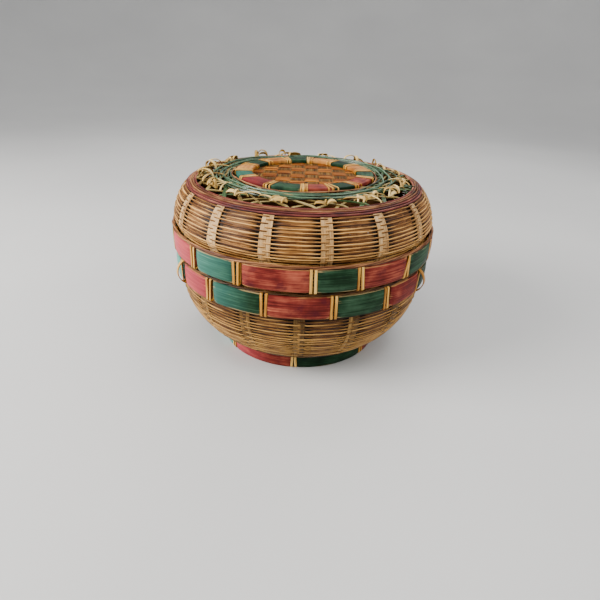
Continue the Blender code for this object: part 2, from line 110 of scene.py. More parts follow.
WALL, WHITE = (0.0, 0.0, 0.08), (1.0, 1.0, 1.0)
window("window_left", (-0.95, -0.32, 0.60), WALL, 0.6, 26.0, (1.0, 0.97, 0.93))
window("soft_right", (0.85, -0.35, 0.7), WALL, 0.8, 7.0, (1.0, 0.97, 0.92))
window("soft_above", (0.05, -0.60, 1.1), WALL, 0.6, 4.0, (1.0, 0.98, 0.95))
window("soft_back", (0.3, 0.8, 0.9), (0.0, 0.0, 0.1), 0.7, 4.5, WHITE)
for third in range(3):
    turn = Matrix.Rotation(math.radians(120.0 * third), 3, "Z")
    place, target = turn @ Vector((0.0, 0.9, 2.4)), turn @ Vector((0.0, 2.6, 0.5))
    window(f"backdrop_wash_{third + 1}", place, target, 1.2, 17.0, WHITE)

sky = bpy.data.worlds.new("sky")
bpy.context.scene.world = sky
sky.use_nodes = True
background = sky.node_tree.nodes["Background"]
background.inputs["Color"].default_value = (0.86, 0.9, 0.95, 1.0)
background.inputs["Strength"].default_value = 0.20

# %% [markdown]
# ## Shader maths as Python
#
# Every strand of this basket is dyed, split or painted by hand, so no finish is one flat colour.
# We write the shaders as expressions. A `Value` wraps one output socket and knows plus, minus and
# times, and a `Finish` adds any other node in one call: its settings first, then its inputs.

# %% A value that can be calculated with
class Value:
    """One output socket of a shader node."""

    def __init__(self, finish, socket):
        self.finish = finish
        self.socket = socket

    def math(self, operation, *values):
        return self.finish.node("Math", {"operation": operation}, dict(enumerate(values)))

    def __add__(self, other):
        return self.math("ADD", self, other)

    def __sub__(self, other):
        return self.math("SUBTRACT", self, other)

    def __rsub__(self, other):
        return self.math("SUBTRACT", other, self)

    def __mul__(self, other):
        return self.math("MULTIPLY", self, other)

    def __abs__(self):
        return self.math("ABSOLUTE", self)

    def floor(self):
        return self.math("FLOOR", self)

    def fraction(self):
        return self.math("FRACT", self)

    def between(self, low, high):
        """0 below low, 1 above high, and a smooth climb from one to the other."""
        return self.finish.node(
            "MapRange", {"interpolation_type": "SMOOTHSTEP"}, {0: self, 1: low, 2: high})

    __radd__ = __add__
    __rmul__ = __mul__


# %% A finish, and the one method that adds its nodes
STRAND_MM = 600.0             # length of a strand that takes U from 0 to 1


class Finish:
    """A material being made. Constants go straight on the shader's own sockets."""

    def __init__(self, name, roughness, gloss=0.5):
        self.material = bpy.data.materials.new(name)
        self.material.use_nodes = True
        self.tree = self.material.node_tree
        self.shader = self.tree.nodes["Principled BSDF"]
        self.set("Roughness", roughness)
        self.set("Specular IOR Level", gloss)

    def set(self, socket, value):
        """Give one of the shader's own sockets a constant or a link."""
        self.feed(self.shader.inputs[socket], value)

    def feed(self, socket, value):
        if isinstance(value, Value):
            self.tree.links.new(value.socket, socket)
        elif socket.type == "RGBA":
            socket.default_value = (*value, 1.0)
        else:
            socket.default_value = value

    def node(self, kind, settings, inputs, output=0):
        made = self.tree.nodes.new("ShaderNode" + kind)
        for key, value in settings.items():
            if key == "stops":
                self.fill_ramp(made.color_ramp, value)
            else:
                setattr(made, key, value)
        for key, value in inputs.items():
            self.feed(made.inputs[key], value)
        return Value(self, made.outputs[output])

    def fill_ramp(self, ramp, stops):
        while len(ramp.elements) < len(stops):
            ramp.elements.new(1.0)
        for element, (place, colour) in zip(ramp.elements, stops):
            element.position = place
            element.color = (*colour, 1.0)

    def ramp(self, value, *stops):
        return self.node("ValToRGB", {"stops": stops}, {0: value})

    def mix(self, share, first, second):
        """Two colours mixed. A share of 0 gives the first and 1 the second."""
        return self.node("Mix", {"data_type": "RGBA"}, {0: share, 6: first, 7: second}, 2)

    def point(self, x, y, z):
        return self.node("CombineXYZ", {}, {0: x, 1: y, 2: z})

    def cloud(self, place, scale=1.0, detail=2.0):
        """Soft noise, about 0.3 to 0.7."""
        return self.node("TexNoise", {}, {"Vector": place, "Scale": scale, "Detail": detail})

    def dice(self, number):
        """A random value from 0 to 1 that stays the same for the same number."""
        return self.node("TexWhiteNoise", {"noise_dimensions": "1D"}, {"W": number})

    def note(self, name):
        """A value that was stored on the mesh."""
        return self.node("Attribute", {"attribute_name": name}, {}, 2)

    def strand(self):
        """Where a point lies on its strand: mm along it, 0 to 1 across it, and its number.

        All strands store this in their UV map. V is the number plus the share across.
        """
        uv = self.node("TexCoord", {}, {}, 2)
        along = self.node("SeparateXYZ", {}, {0: uv}, 0) * STRAND_MM
        across = self.node("SeparateXYZ", {}, {0: uv}, 1)
        return along, across.fraction(), across.floor()

    def rough_up(self, height, distance, strength=0.5):
        bump = self.node("Bump", {}, {"Height": height, "Distance": distance, "Strength": strength})
        self.set("Normal", bump)


# %% [markdown]
# ## Split root
#
# A root is split lengthwise, so its fibres run along the strand, and one strand is seldom as
# brown as the next. The tone below adds three things: a throw of the dice for each strand, a slow
# drift along it, and fine fibres. The sum picks a colour between dark, middle and light. On a
# round strand painted light is added too: the tone rises towards its top and falls towards its
# underside, as light from above would make it, and that sets each row off from the next.

# %% The finish of split root
# Painted shade: a near-black for the outward half of a partner, where only shade shows between the
# rows.
PAINTED_SLIT_SHADE = (0.008, 0.003, 0.001)  # the dark that shows between two rows


def root_finish(name, dark, middle, light, edge_brown=0.0, roughness=0.5, painted_top_light=0.0, outside=None,
                gloss=0.17):
    """Split root. edge_brown darkens the edges of a flat strip. A round strand can get painted
    light: lighter on its top and darker on its underside.

    outside is a painted shade for the outward half of a round strand where it runs behind the
    wall: a near-black that stands in for the dark of the slits.
    """
    finish = Finish(name, roughness, gloss)
    along, across, strand = finish.strand()
    fibres = finish.cloud(finish.point(along * 0.09, across * 7.0, strand * 5.3), 1.0, 3.0)
    drift = finish.cloud(finish.point(along * 0.022, strand * 3.7, strand * 1.9), 1.0, 1.0)
    luck = finish.dice(strand)
    tone = luck * 0.32 + (drift - 0.5) * 1.5 + (fibres - 0.5) * 1.5 + 0.34
    # Painted light: the top of a round strand is made lighter and its underside darker.
    if painted_top_light:
        tone = tone + (0.5 - abs(across - 0.75) * 2.0) * painted_top_light
    colour = finish.ramp(tone, (0.0, dark), (0.5, middle), (1.0, light))
    if edge_brown:
        rim = abs(across - 0.5).between(0.3, 0.5) * edge_brown
        colour = finish.mix(rim, colour, dark)
    # Painted shade: the outward half of a strand turns near-black where it lies in the slits.
    if outside:
        inward, forward = abs(across - 0.5).between(0.26, 0.4), finish.note("forward")
        colour = finish.mix(inward + forward - inward * forward, outside, colour)
    finish.set("Base Color", colour)
    finish.set("Roughness", (fibres - 0.5) * 0.4 + roughness)
    finish.rough_up(fibres, 0.0004)
    return finish.material


# %% Roots, from the wefts to the loops
weft_root = root_finish(
    "weft_root", (0.020, 0.005, 0.0012), (0.165, 0.061, 0.010), (0.68, 0.37, 0.110), painted_top_light=1.1)
# The bowl's wefts are the lid's root painted darker: painted shade on the body.
bowl_shaded_root = root_finish(
    "bowl_shaded_root", (0.012, 0.0035, 0.001), (0.095, 0.034, 0.006), (0.54, 0.29, 0.08), painted_top_light=1.1)
# The darkest copy paints shade: low on the bowl where it turns under, and in the joint under the
# lid's hoop.
shaded_low_root = root_finish(
    "shaded_low_root", (0.008, 0.003, 0.001), (0.048, 0.020, 0.006), (0.20, 0.095, 0.028), painted_top_light=0.5)
# The partners carry the painted slit shade on the outward half of their strands.
back_root = root_finish(
    "back_root", (0.03, 0.010, 0.003), (0.15, 0.06, 0.015), (0.40, 0.21, 0.07),
    outside=PAINTED_SLIT_SHADE)
lid_partner_root = root_finish(
    "lid_partner_root", (0.015, 0.004, 0.001), (0.080, 0.026, 0.004), (0.34, 0.15, 0.035), painted_top_light=0.8,
    outside=PAINTED_SLIT_SHADE)
# The bowl's partners likewise are a darker copy of the lid's: painted shade.
bowl_shaded_partner_root = root_finish(
    "bowl_shaded_partner_root", (0.010, 0.003, 0.001), (0.050, 0.017, 0.003), (0.24, 0.11, 0.028), painted_top_light=0.8,
    outside=PAINTED_SLIT_SHADE)
pale_root = root_finish("pale_root", (0.16, 0.07, 0.02), (0.43, 0.25, 0.095), (0.72, 0.50, 0.26))
olive_root = root_finish(
    "olive_root", (0.03, 0.013, 0.003), (0.115, 0.058, 0.012), (0.36, 0.20, 0.055))
brown_root = root_finish(
    "brown_root", (0.05, 0.016, 0.004), (0.17, 0.065, 0.016), (0.36, 0.16, 0.045))
splint_root = root_finish(
    "splint_root", (0.055, 0.012, 0.002), (0.20, 0.054, 0.005), (0.44, 0.155, 0.018), gloss=0.05)
fine_root = root_finish(
    "fine_root", (0.02, 0.007, 0.0015), (0.085, 0.036, 0.006), (0.27, 0.135, 0.03), gloss=0.05)
dyed_red_root = root_finish(
    "dyed_red_root", (0.02, 0.003, 0.005), (0.150, 0.026, 0.020), (0.52, 0.22, 0.12), painted_top_light=0.8)
dyed_brown_root = root_finish(
    "dyed_brown_root", (0.015, 0.004, 0.002), (0.090, 0.026, 0.009), (0.38, 0.17, 0.065), painted_top_light=0.7)
dyed_green_root = root_finish(
    "dyed_green_root", (0.002, 0.008, 0.003), (0.010, 0.036, 0.013), (0.10, 0.19, 0.105), 0.0, 0.3,
    painted_top_light=0.6, gloss=0.4)
green_strip = root_finish(
    "green_strip", (0.008, 0.026, 0.008), (0.055, 0.105, 0.036), (0.27, 0.34, 0.15), 0.3, 0.4)
binding_root = root_finish(
    "binding_root", (0.15, 0.045, 0.005), (0.58, 0.27, 0.034), (0.94, 0.63, 0.19), 0.8, 0.42)
cream_root = root_finish(
    "cream_root", (0.06, 0.032, 0.007), (0.26, 0.18, 0.050), (0.60, 0.47, 0.19), 0.5, 0.5)
loop_root = root_finish(
    "loop_root", (0.13, 0.055, 0.009), (0.56, 0.35, 0.085), (0.98, 0.78, 0.36), 0.6, 0.42)
print("finishes:", len(bpy.data.materials))

# %% [markdown]
# ## Tools of the workbench
#
# An operator works on whatever is selected, as it does under the mouse. So we need a few small
# tools: one to add a primitive by itself, one to step into edit mode and out again, and one to
# pick corners by their place. Azimuths are in degrees from the front of the basket, growing
# towards +X.

# %% Add, edit and pick
def alone(piece):
    """Make this piece the only one selected."""
    bpy.ops.object.select_all(action="DESELECT")
    piece.select_set(True)
    bpy.context.view_layer.objects.active = piece


def primitive(kind, name, **size_and_place):
    """Add a primitive and bring its place into its mesh."""
    bpy.ops.object.select_all(action="DESELECT")
    getattr(bpy.ops.mesh, f"primitive_{kind}_add")(**size_and_place)
    piece = bpy.context.object
    piece.name = piece.data.name = name
    bpy.ops.object.transform_apply(location=True, rotation=True, scale=True)
    return piece


@contextmanager
def editing(piece):
    alone(piece)
    bpy.ops.object.mode_set(mode="EDIT")
    bpy.ops.mesh.select_all(action="SELECT")
    yield
    bpy.ops.object.mode_set(mode="OBJECT")


def pick(test):
    """In edit mode, select the corners that pass a test of their place, and nothing else."""
    data = bpy.context.object.data
    mesh = bmesh.from_edit_mesh(data)
    for corner in mesh.verts:
        corner.select_set(bool(test(corner.co)))
    mesh.select_flush_mode()
    bmesh.update_edit_mesh(data)


def azimuth_of(place):
    return math.degrees(math.atan2(place.x, -place.y))


def around(azimuth, site):
    """How far an azimuth lies from a site, from -180 to 180 degrees."""
    return (azimuth - site + 180.0) % 360.0 - 180.0


def turned_by(azimuth):
    """The turn that carries the front to an azimuth."""
    return Matrix.Rotation(math.radians(azimuth), 4, "Z")


# %% Copy, join and finish
def copy_of(piece, change):
    """A copy with a mesh of its own, moved by a matrix."""
    alone(piece)
    bpy.ops.object.duplicate()
    made = bpy.context.object
    made.data.transform(change)
    return made


def joined(pieces, name):
    bpy.ops.object.select_all(action="DESELECT")
    for piece in pieces:
        piece.select_set(True)
    bpy.context.view_layer.objects.active = pieces[0]
    if len(pieces) > 1:
        bpy.ops.object.join()
    made = bpy.context.object
    made.name = made.data.name = name
    return made


def corners(piece):
    """The places of a mesh's corners, in metres, as an array."""
    flat = np.empty(len(piece.data.vertices) * 3)
    piece.data.vertices.foreach_get("co", flat)
    return flat.reshape(-1, 3)


def put_corners(piece, places):
    piece.data.vertices.foreach_set("co", np.asarray(places).ravel())
    piece.data.update()


# %% Number a strand, and dress a piece
def number_strand(piece, number, along=1.0):
    """Scale a strand's UV map to its length, and shift it so that V carries the strand's number.

    A fresh copy still shares its map with the pattern, so the map is made anew.
    """
    layers = piece.data.uv_layers
    flat = np.empty(len(layers[0].uv) * 2)
    layers[0].uv.foreach_get("vector", flat)
    flat[0::2] *= along
    flat[1::2] = np.clip(flat[1::2], 0.001, 0.999) + number
    layers.remove(layers[0])
    layers.new(name="UVMap").uv.foreach_set("vector", flat)


def dress(piece, material, body, slot, *nodes):
    """The last step of every piece: smooth shading, its finish, its body and what it stands for."""
    alone(piece)
    bpy.ops.object.shade_smooth_by_angle(angle=math.radians(40.0))
    piece.data.materials.clear()
    piece.data.materials.append(material)
    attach(piece, body)
    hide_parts(*nodes)
    print(f"{piece.name}: {len(piece.data.polygons)} faces")


# %% [markdown]
# ## The line of the wall
#
# Both walls are turned shapes: one line, taken round the axis. The body leaves the foot as a bowl
# and stands upright behind its hoop. The lid rises from behind its hoop, bulges and closes to a
# shoulder. We walk along each line in small steps, because the wefts must lie at even distances
# along it.

# %% Walk along a line of the wall
def bowl_line():
    line = []
    for i in range(46):
        turn = math.radians(2.0 * i)
        line.append((68.0 + 29.4 * math.sin(turn) ** 1.6, 11.5 + 48.5 * (1.0 - math.cos(turn))))
    return line + [(97.1, 62.0), (96.2, 64.5), (95.9, 67.0), (95.9, 82.0)]


def lid_line():
    line = [(97.1, 83.6), (97.1, 99.0), (97.5, 101.0), (98.8, 103.2)]
    for i in range(46):
        turn = math.radians(2.0 * i)
        line.append((100.0 - 18.5 * (1.0 - math.cos(turn)), 106.0 + 26.2 * math.sin(turn) ** 1.3))
    return line


def walk(line, distances):
    """Radius, height and lean of the wall at each distance along its line."""
    line = np.array(line)
    steps = np.hypot(*np.diff(line, axis=0).T)
    reached = np.concatenate([[0.0], np.cumsum(steps)])
    stations = []
    for distance in distances:
        r, z = (np.interp(distance, reached, line[:, i]) for i in (0, 1))
        r0, z0 = (np.interp(distance - 1.5, reached, line[:, i]) for i in (0, 1))
        r1, z1 = (np.interp(distance + 1.5, reached, line[:, i]) for i in (0, 1))
        stations.append((float(r), float(z), math.atan2(r0 - r1, z1 - z0)))
    return stations


def length_of(line):
    return float(np.hypot(*np.diff(np.array(line), axis=0).T).sum())


print("wall of the body:", round(length_of(bowl_line()), 1), "mm; of the lid:",
      round(length_of(lid_line()), 1), "mm")

# %% [markdown]
# ## One pair of wefts
#
# Each row of the real wall is a pair of roots. The stakes stand in groups of splints, 32 groups
# to a wall, pale and brown by turns. The first root of a pair crosses them in front, and dips
# behind one splint of each pale group: the last one or the first one, by turns. It is thin beside
# the pale groups, and its partner passes behind them, so dark slits show there. Further on the
# partner comes forward and closes the wall between two rows.
#
# A row could be an array of short pieces, but a torus has no seam. A fresh torus takes 256 cuts
# at most. So we add one with fewer, and cut its ring edges until there are twelve cuts from one
# group to the next. Then we pick each cut all round the basket and scale it about the axis:
# outwards or inwards to pass a splint, and flat to thin it.

# %% Weave one strand in and out
GROUPS = 32
PALE_GROUPS = GROUPS // 2
PITCH = 360.0 / GROUPS
CUTS = 12                     # from one group to the next
WEFT_R = 100.0                # mm, radius of the pattern strand
SWING = 0.55                  # mm, how far a first root moves in or out to pass a splint
THIN, GAINED = 0.41, 0.21     # its height beside a pale group, and what it gains further on
FORWARD = 1.85                # mm, how far a partner comes forward
FLATTER = 0.52                # the share of its height that it loses there


def beside_pale(azimuth, turn=0.0):
    """Degrees from the nearest place that lies turn degrees past a pale group."""
    return around(PALE_GROUPS * azimuth, PALE_GROUPS * turn) / PALE_GROUPS


def gain(turn, start, run):
    """0 up to start degrees from a pale group, 1 from run degrees further on, eased between."""
    share = min(1.0, max(0.0, (abs(turn) - start) / run))
    return share * share * (3.0 - 2.0 * share)


# %% Shape a strand at its cuts
def ring(name, radius, thick, cuts, sides, height=0.0):
    """A bare round strand: a torus about the axis, in millimetres."""
    return primitive(
        "torus", name, major_radius=radius * MM, minor_radius=thick * MM, major_segments=cuts,
        minor_segments=sides, location=(0.0, 0.0, height * MM))


def ring_edges():
    """In edit mode, select the edges that run round the basket."""
    mesh = bmesh.from_edit_mesh(bpy.context.object.data)
    for edge in mesh.edges:
        first, second = (azimuth_of(corner.co) for corner in edge.verts)
        edge.select_set(abs(around(first, second)) > 0.5)
    mesh.select_flush_mode()


def wavy(name, shape):
    """A pattern strand. shape gives its swing in mm and its height at a cut.

    Cuts count from the middle of a pale group.
    """
    strand = ring(name, WEFT_R, 0.5, GROUPS * CUTS // 3, 6)
    with editing(strand):
        bpy.ops.mesh.select_mode(type="EDGE")
        ring_edges()
        bpy.ops.mesh.subdivide(number_cuts=2)
        bpy.ops.mesh.select_mode(type="VERT")
        for cut in range(-CUTS, CUTS):
            turn = cut * PITCH / CUTS
            pick(lambda place: abs(beside_pale(azimuth_of(place), turn)) < 0.25)
            swing, tall = shape(cut)
            out = (WEFT_R + swing) / WEFT_R
            bpy.ops.transform.resize(value=(out, out, tall), center_override=(0.0, 0.0, 0.0))
    return strand


# %% Two first roots and a partner
def in_front(swings):
    """A first root. swings holds its nine swings, from 4 cuts before to 4 past a pale group."""
    def shape(cut):
        swing = swings[cut + 4] if abs(cut) <= 4 else swings[0]
        return SWING * swing, THIN + GAINED * gain(cut * PITCH / CUTS, 2.4, 5.4)
    return shape


def coming_forward(cut):
    """A partner: behind the pale groups it is deep and tall, between them forward and flat."""
    share = gain(cut * PITCH / CUTS, 2.8, 4.2)
    return FORWARD * share, 1.0 - FLATTER * share


first_weft = wavy("first_weft", in_front((0.7, 0.8, 0.9, 1.0, 0.8, -0.4, -0.9, 0.3, 0.7)))
second_weft = wavy("second_weft", in_front((0.7, 0.3, -0.9, -0.4, 0.8, 1.0, 0.9, 0.8, 0.7)))
partner = wavy("partner", coming_forward)
# forward is 0 beside the pale groups, where a partner gets its painted shade, and 1 further on.
turns = [beside_pale(azimuth_of(corner.co)) for corner in partner.data.vertices]
partner.data.attributes.new("forward", "FLOAT", "POINT").data.foreach_set(
    "value", [gain(turn, 3.8, 1.8) for turn in turns])
print("one weft:", len(first_weft.data.polygons), "faces")

# %% [markdown]
# ## Rows of wefts
#
# Each row is a copy of the pattern strand, set on the wall. On the shoulder the wall leans over,
# so a row can't only be scaled and lifted: its section has to lean with the wall. That takes a
# little arithmetic on the corners. A slow and a quick noise move each row a touch, because hands
# made it.

# %% Lay a row on the wall
DEPTH = 1.2                   # mm from the outside of the wall to the middle of the stakes


def ring_shape(strand):
    """Azimuth in radians, distance from the axis and height of a ring's corners, in millimetres."""
    x, y, z = (corners(strand) / MM).T
    return np.arctan2(x, -y), np.hypot(x, y), z


def put_ring(strand, azimuth, out, up):
    put_corners(strand, np.stack([out * np.sin(azimuth), -out * np.cos(azimuth), up], 1) * MM)


def unevenness(azimuth, quick, seed):
    """A noise round the basket that meets itself again."""
    return np.array([noise.noise(Vector((quick * math.sin(turn), quick * math.cos(turn), seed)))
                     for turn in azimuth])


def laid(pattern, station, pitch, number, phase=0.0, thick=0.9, depth=DEPTH):
    """A copy of the pattern strand at a station of the wall."""
    r, z, lean = station
    row = copy_of(pattern, turned_by(phase))
    azimuth, out, up = ring_shape(row)
    wobble = unevenness(azimuth, 3.0, number * 0.73)
    ripple = unevenness(azimuth, 11.0, number * 1.9)
    up = up * pitch * (1.0 + 0.16 * ripple) + (0.12 * wobble + 0.04 * ripple) * pitch
    out = (out - WEFT_R) * thick - depth + 0.08 * wobble
    put_ring(row, azimuth, r + out * math.cos(lean) - up * math.sin(lean),
             z + out * math.sin(lean) + up * math.cos(lean))
    number_strand(row, number)
    return row


def woven(name, line, distances, pitch, first=0, phase=0.0):
    """Rows at the given distances along a wall, the two patterns by turns."""
    rows = []
    for number, station in enumerate(walk(line, distances)):
        pattern = first_weft if (number + first) % 2 == 0 else second_weft
        rows.append(laid(pattern, station, pitch, number + first, phase))
    return joined(rows, name)


# %% The rows of the body
def row_distances(start, end, count):
    """Even distances for a count of rows, and their pitch, in millimetres."""
    pitch = (end - start) / count
    return [start + pitch * (i + 0.5) for i in range(count)], pitch


body_length = length_of(bowl_line())
LOW_RUN = 14.0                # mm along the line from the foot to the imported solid's seam
LOW_ROWS, HIGH_ROWS = 6, 26
low_distances, low_pitch = row_distances(0.6, LOW_RUN, LOW_ROWS)
high_distances, high_pitch = row_distances(LOW_RUN, body_length - 0.8, HIGH_ROWS)
# The low rows take the darkest root, painted shade where the bowl turns under.
body_low = woven("body_low_wefts", bowl_line(), low_distances, low_pitch)
dress(body_low, shaded_low_root, "basket", "root_dark", "body_weave_low")
body_wefts = woven("body_wefts", bowl_line(), high_distances, high_pitch, LOW_ROWS)
dress(body_wefts, bowl_shaded_root, "basket", "root_brown", "body_weave")
print("pitch of the body's rows:", round(low_pitch, 2), "and", round(high_pitch, 2), "mm")

# %% The lid's rows, and the dyed ones at its shoulder
lid_length = length_of(lid_line())
LID_PHASE = 9.0               # degrees that the lid's pale groups stand to the right of the body's
OVER_HOOP = 17.7              # mm along the lid's line to the top of its hoop
DYED_RUN = 8.4                # mm along the same line that the dyed rows take up
LID_ROWS = 13                 # in sight between the hoop and the dyed rows
in_sight, lid_pitch = row_distances(OVER_HOOP, lid_length - DYED_RUN, LID_ROWS)
hidden_rows = int(OVER_HOOP / lid_pitch)
lid_distances = [OVER_HOOP - lid_pitch * (i + 0.5) for i in range(hidden_rows)][::-1] + in_sight
lid_wefts = woven("lid_wefts", lid_line(), lid_distances, lid_pitch, 1, LID_PHASE)
dress(lid_wefts, weft_root, "lid", "root_brown", "lid_weave")
print("pitch of the lid's rows:", round(lid_pitch, 2), "mm, with", hidden_rows, "behind the hoop")

# %% The dyed rows are thick and plain, and cover the ends of the stakes
plain_strand = ring("plain_strand", WEFT_R, 0.5, 256, 8)
dyed_distances, dyed_pitch = row_distances(lid_length - DYED_RUN, lid_length + 0.4, 5)
dyed_stations = walk(lid_line(), dyed_distances)
for colour, finish, slot, rows in (("red", dyed_red_root, "dyed_red", (0, 1, 4)),
                                   ("brown", dyed_brown_root, "root_brown", (2, 3))):
    strands = [laid(plain_strand, dyed_stations[i], dyed_pitch * 0.9, 40 + i, 0.0, 1.5, 0.85)
               for i in rows]
    dress(joined(strands, f"lid_dyed_{colour}_wefts"), finish, "lid", slot, "lid_red_weave")

# %% [markdown]
# ## The partners
#
# The partners lie between the rows, deeper in the wall. Low on the bowl the rows are packed so
# close that a partner is seen only from inside, so a plain flat torus does there, with far fewer
# cuts. Where a partner runs behind the slits, the outward half of its strand is painted
# near-black: painted shade.

# %% Lay the partners
BEHIND = 2.4                  # mm from the outside of the wall to the middle of a partner
plain_back = ring("plain_back", WEFT_R, 0.5, 160, 4)


def backed(name, pattern, line, distances, pitch, first, phase=0.0):
    """Partners half a pitch above the rows at the given distances."""
    rows = []
    for number, station in enumerate(walk(line, [d + 0.5 * pitch for d in distances])):
        rows.append(laid(pattern, station, pitch * 1.15, first + number, phase, 0.7, BEHIND))
    return joined(rows, name)


low_backs = backed("body_low_back_wefts", plain_back, bowl_line(), low_distances, high_pitch, 60)
dress(low_backs, back_root, "basket", "root_dark", "body_weave_low")
body_backs = backed(
    "body_back_wefts", partner, bowl_line(), high_distances[:-1], high_pitch, 66)
dress(body_backs, bowl_shaded_partner_root, "basket", "root_brown", "body_weave")
lid_backs = backed(
    "lid_back_wefts", partner, lid_line(), lid_distances, lid_pitch, 92, LID_PHASE)
dress(lid_backs, lid_partner_root, "lid", "root_brown", "lid_weave")

# %% [markdown]
# ## Stakes
#
# A stake is a flat splint that runs up the wall between the wefts. A curve with a bevel could
# make one too, but extruding shows each step and lets it take the width that it needs. We start
# with a small plane at the foot of the wall and extrude its leading edge, station by station, as
# one would pull a strip out of a face by hand. It gets narrower towards the foot, because all of
# them must meet there. Solidify gives it the thickness of the splint. Three copies side by side
# make a group.

# %% Extrude one stake up the wall
STAKE_WIDE = 1.45             # degrees
SPLINT_PITCH = PITCH / 7.5    # degrees between the splints of a group
STAKE_THICK = 0.7             # mm


def half_width(radius):
    """Half the width of a stake where it stands at this distance from the axis."""
    return radius * math.sin(math.radians(STAKE_WIDE / 2.0))


def face_outwards():
    """In edit mode, turn every face of a closed piece to the outside."""
    bpy.ops.mesh.select_all(action="SELECT")
    bpy.ops.mesh.normals_make_consistent(inside=False)


def finished_with(piece, kind, **settings):
    """Add a modifier, set it and apply it."""
    alone(piece)
    bpy.ops.object.modifier_add(type=kind)
    modifier = piece.modifiers[-1]
    for key, value in settings.items():
        setattr(modifier, key, value)
    bpy.ops.object.modifier_apply(modifier=modifier.name)


def stake(name, stations):
    """A splint up the wall at the front, through the middle of the weave."""
    points = []
    for r, z, lean in stations:
        points.append((r - DEPTH * math.cos(lean), z - DEPTH * math.sin(lean)))
    r, z = points[0]
    wide = 2.0 * half_width(r) * MM
    strip = primitive("plane", name, size=wide, location=(0.0, -r * MM, z * MM - wide / 2.0),
                      rotation=(math.pi / 2.0, 0.0, 0.0))
    with editing(strip):
        pick(lambda place: place.z < z * MM - wide / 2.0)
        bpy.ops.transform.translate(value=(0.0, 0.0, wide * 0.8))
        pick(lambda place: place.z > z * MM - wide * 0.1)
        for (r0, z0), (r1, z1) in zip(points, points[1:]):
            bpy.ops.mesh.extrude_region_move(
                TRANSFORM_OT_translate={"value": (0.0, (r0 - r1) * MM, (z1 - z0) * MM)})
            bpy.ops.transform.resize(
                value=(r1 / r0, 1.0, 1.0), center_override=(0.0, -r1 * MM, z1 * MM))
        face_outwards()
    finished_with(strip, "SOLIDIFY", thickness=STAKE_THICK * MM, offset=0.0)
    return strip


# %% Stand the stakes in groups
def uv_of(piece):
    """The UV map of a piece, made if it has none."""
    layers = piece.data.uv_layers
    return (layers[0] if layers else layers.new()).uv


def map_stake(strip):
    """UV map of a stake: its length along the wall, and its width from 0 to 1."""
    uv = uv_of(strip)
    for loop in strip.data.loops:
        x, y, z = strip.data.vertices[loop.vertex_index].co
        across = 0.5 + 0.5 * x / half_width(math.hypot(x, y))
        uv[loop.index].vector = ((z + y) / MM / STRAND_MM, min(0.99, max(0.01, across)))


def all_stakes(pattern, body, phase, pale, *nodes):
    """Groups of three copies round the wall, pale and brown by turns."""
    map_stake(pattern)
    for first, finish, kind in ((0, pale, "pale"), (1, brown_root, "brown")):
        copies = []
        for group in range(first, GROUPS, 2):
            for place in (-1, 0, 1):
                turn = phase + group * PITCH + place * SPLINT_PITCH
                copies.append(copy_of(pattern, turned_by(turn)))
                number_strand(copies[-1], group * 3 + place + 1)
        dress(joined(copies, f"{body}_{kind}_stakes"), finish, body, f"root_{kind}", *nodes)


body_stations = walk(bowl_line(), np.linspace(0.0, body_length - 1.5, 28))
body_stake = stake("body_stake", body_stations)
all_stakes(body_stake, "basket", 0.0, olive_root, "body_stakes")
lid_stations = walk(lid_line(), np.linspace(0.3, lid_length - DYED_RUN, 24))
lid_stake = stake("lid_stake", lid_stations)
all_stakes(lid_stake, "lid", LID_PHASE, pale_root, "lid_stakes")
for pattern in (
        first_weft, second_weft, partner, plain_strand, plain_back, body_stake, lid_stake):
    bpy.data.objects.remove(pattern)

# %% [markdown]
# ## Paint
#
# The hoops are flat splints, painted red and green by turns. The paint is thin and old: it
# follows the grain in streaks, has darker stains, and is rubbed off along the edges and beside
# the lashings. An image could hold these marks, but noise that follows the strand's own UV map
# fits every field, and no two fields come out the same. The wear is a mask made of three things:
# the edge of the splint, a value stored near its ends, and grain. On the left side, towards the
# window lamp, a painted sheen turns red to pink and green to a bluish grey. A second stored
# value says how much.

# %% Two paints and a bare splint
def paint_finish(name, dark, middle, light, stain, bare, faded, roughness=0.48):
    """Old paint: three tones, its stains, the splint where it is worn, and a painted sheen colour.
    """
    finish = Finish(name, roughness, 0.07)
    along, across, field = finish.strand()
    streaks = finish.cloud(finish.point(along * 0.035, across * 17.0, field * 3.1), 1.0, 4.0)
    patches = finish.cloud(finish.point(along * 0.07, across * 1.6, field * 2.3), 1.0, 4.0)
    stains = finish.cloud(finish.point(along * 0.12, across * 2.0, field * 7.7), 1.0, 4.0)
    tone = finish.dice(field) * 0.25 + (streaks - 0.5) * 1.3 + (patches - 0.5) * 1.4 + 0.40
    colour = finish.ramp(tone, (0.0, dark), (0.5, middle), (1.0, light))
    colour = finish.mix(stains.between(0.52, 0.72) * 0.55, colour, stain)
    # Painted sheen: the colour turns paler on the side towards the window lamp.
    colour = finish.mix(finish.note("faded") * (streaks + 0.35), colour, faded)
    edge = abs(across - 0.5).between(0.36, 0.5)
    wear = (edge * 0.55 + finish.note("end") * 0.45 + (streaks - 0.5) * 2.4).between(0.5, 0.8)
    finish.set("Base Color", finish.mix(wear * 0.85, colour, bare))
    finish.set("Roughness", (patches - 0.5) * 0.5 + roughness)
    finish.rough_up(streaks, 0.0005)
    return finish.material


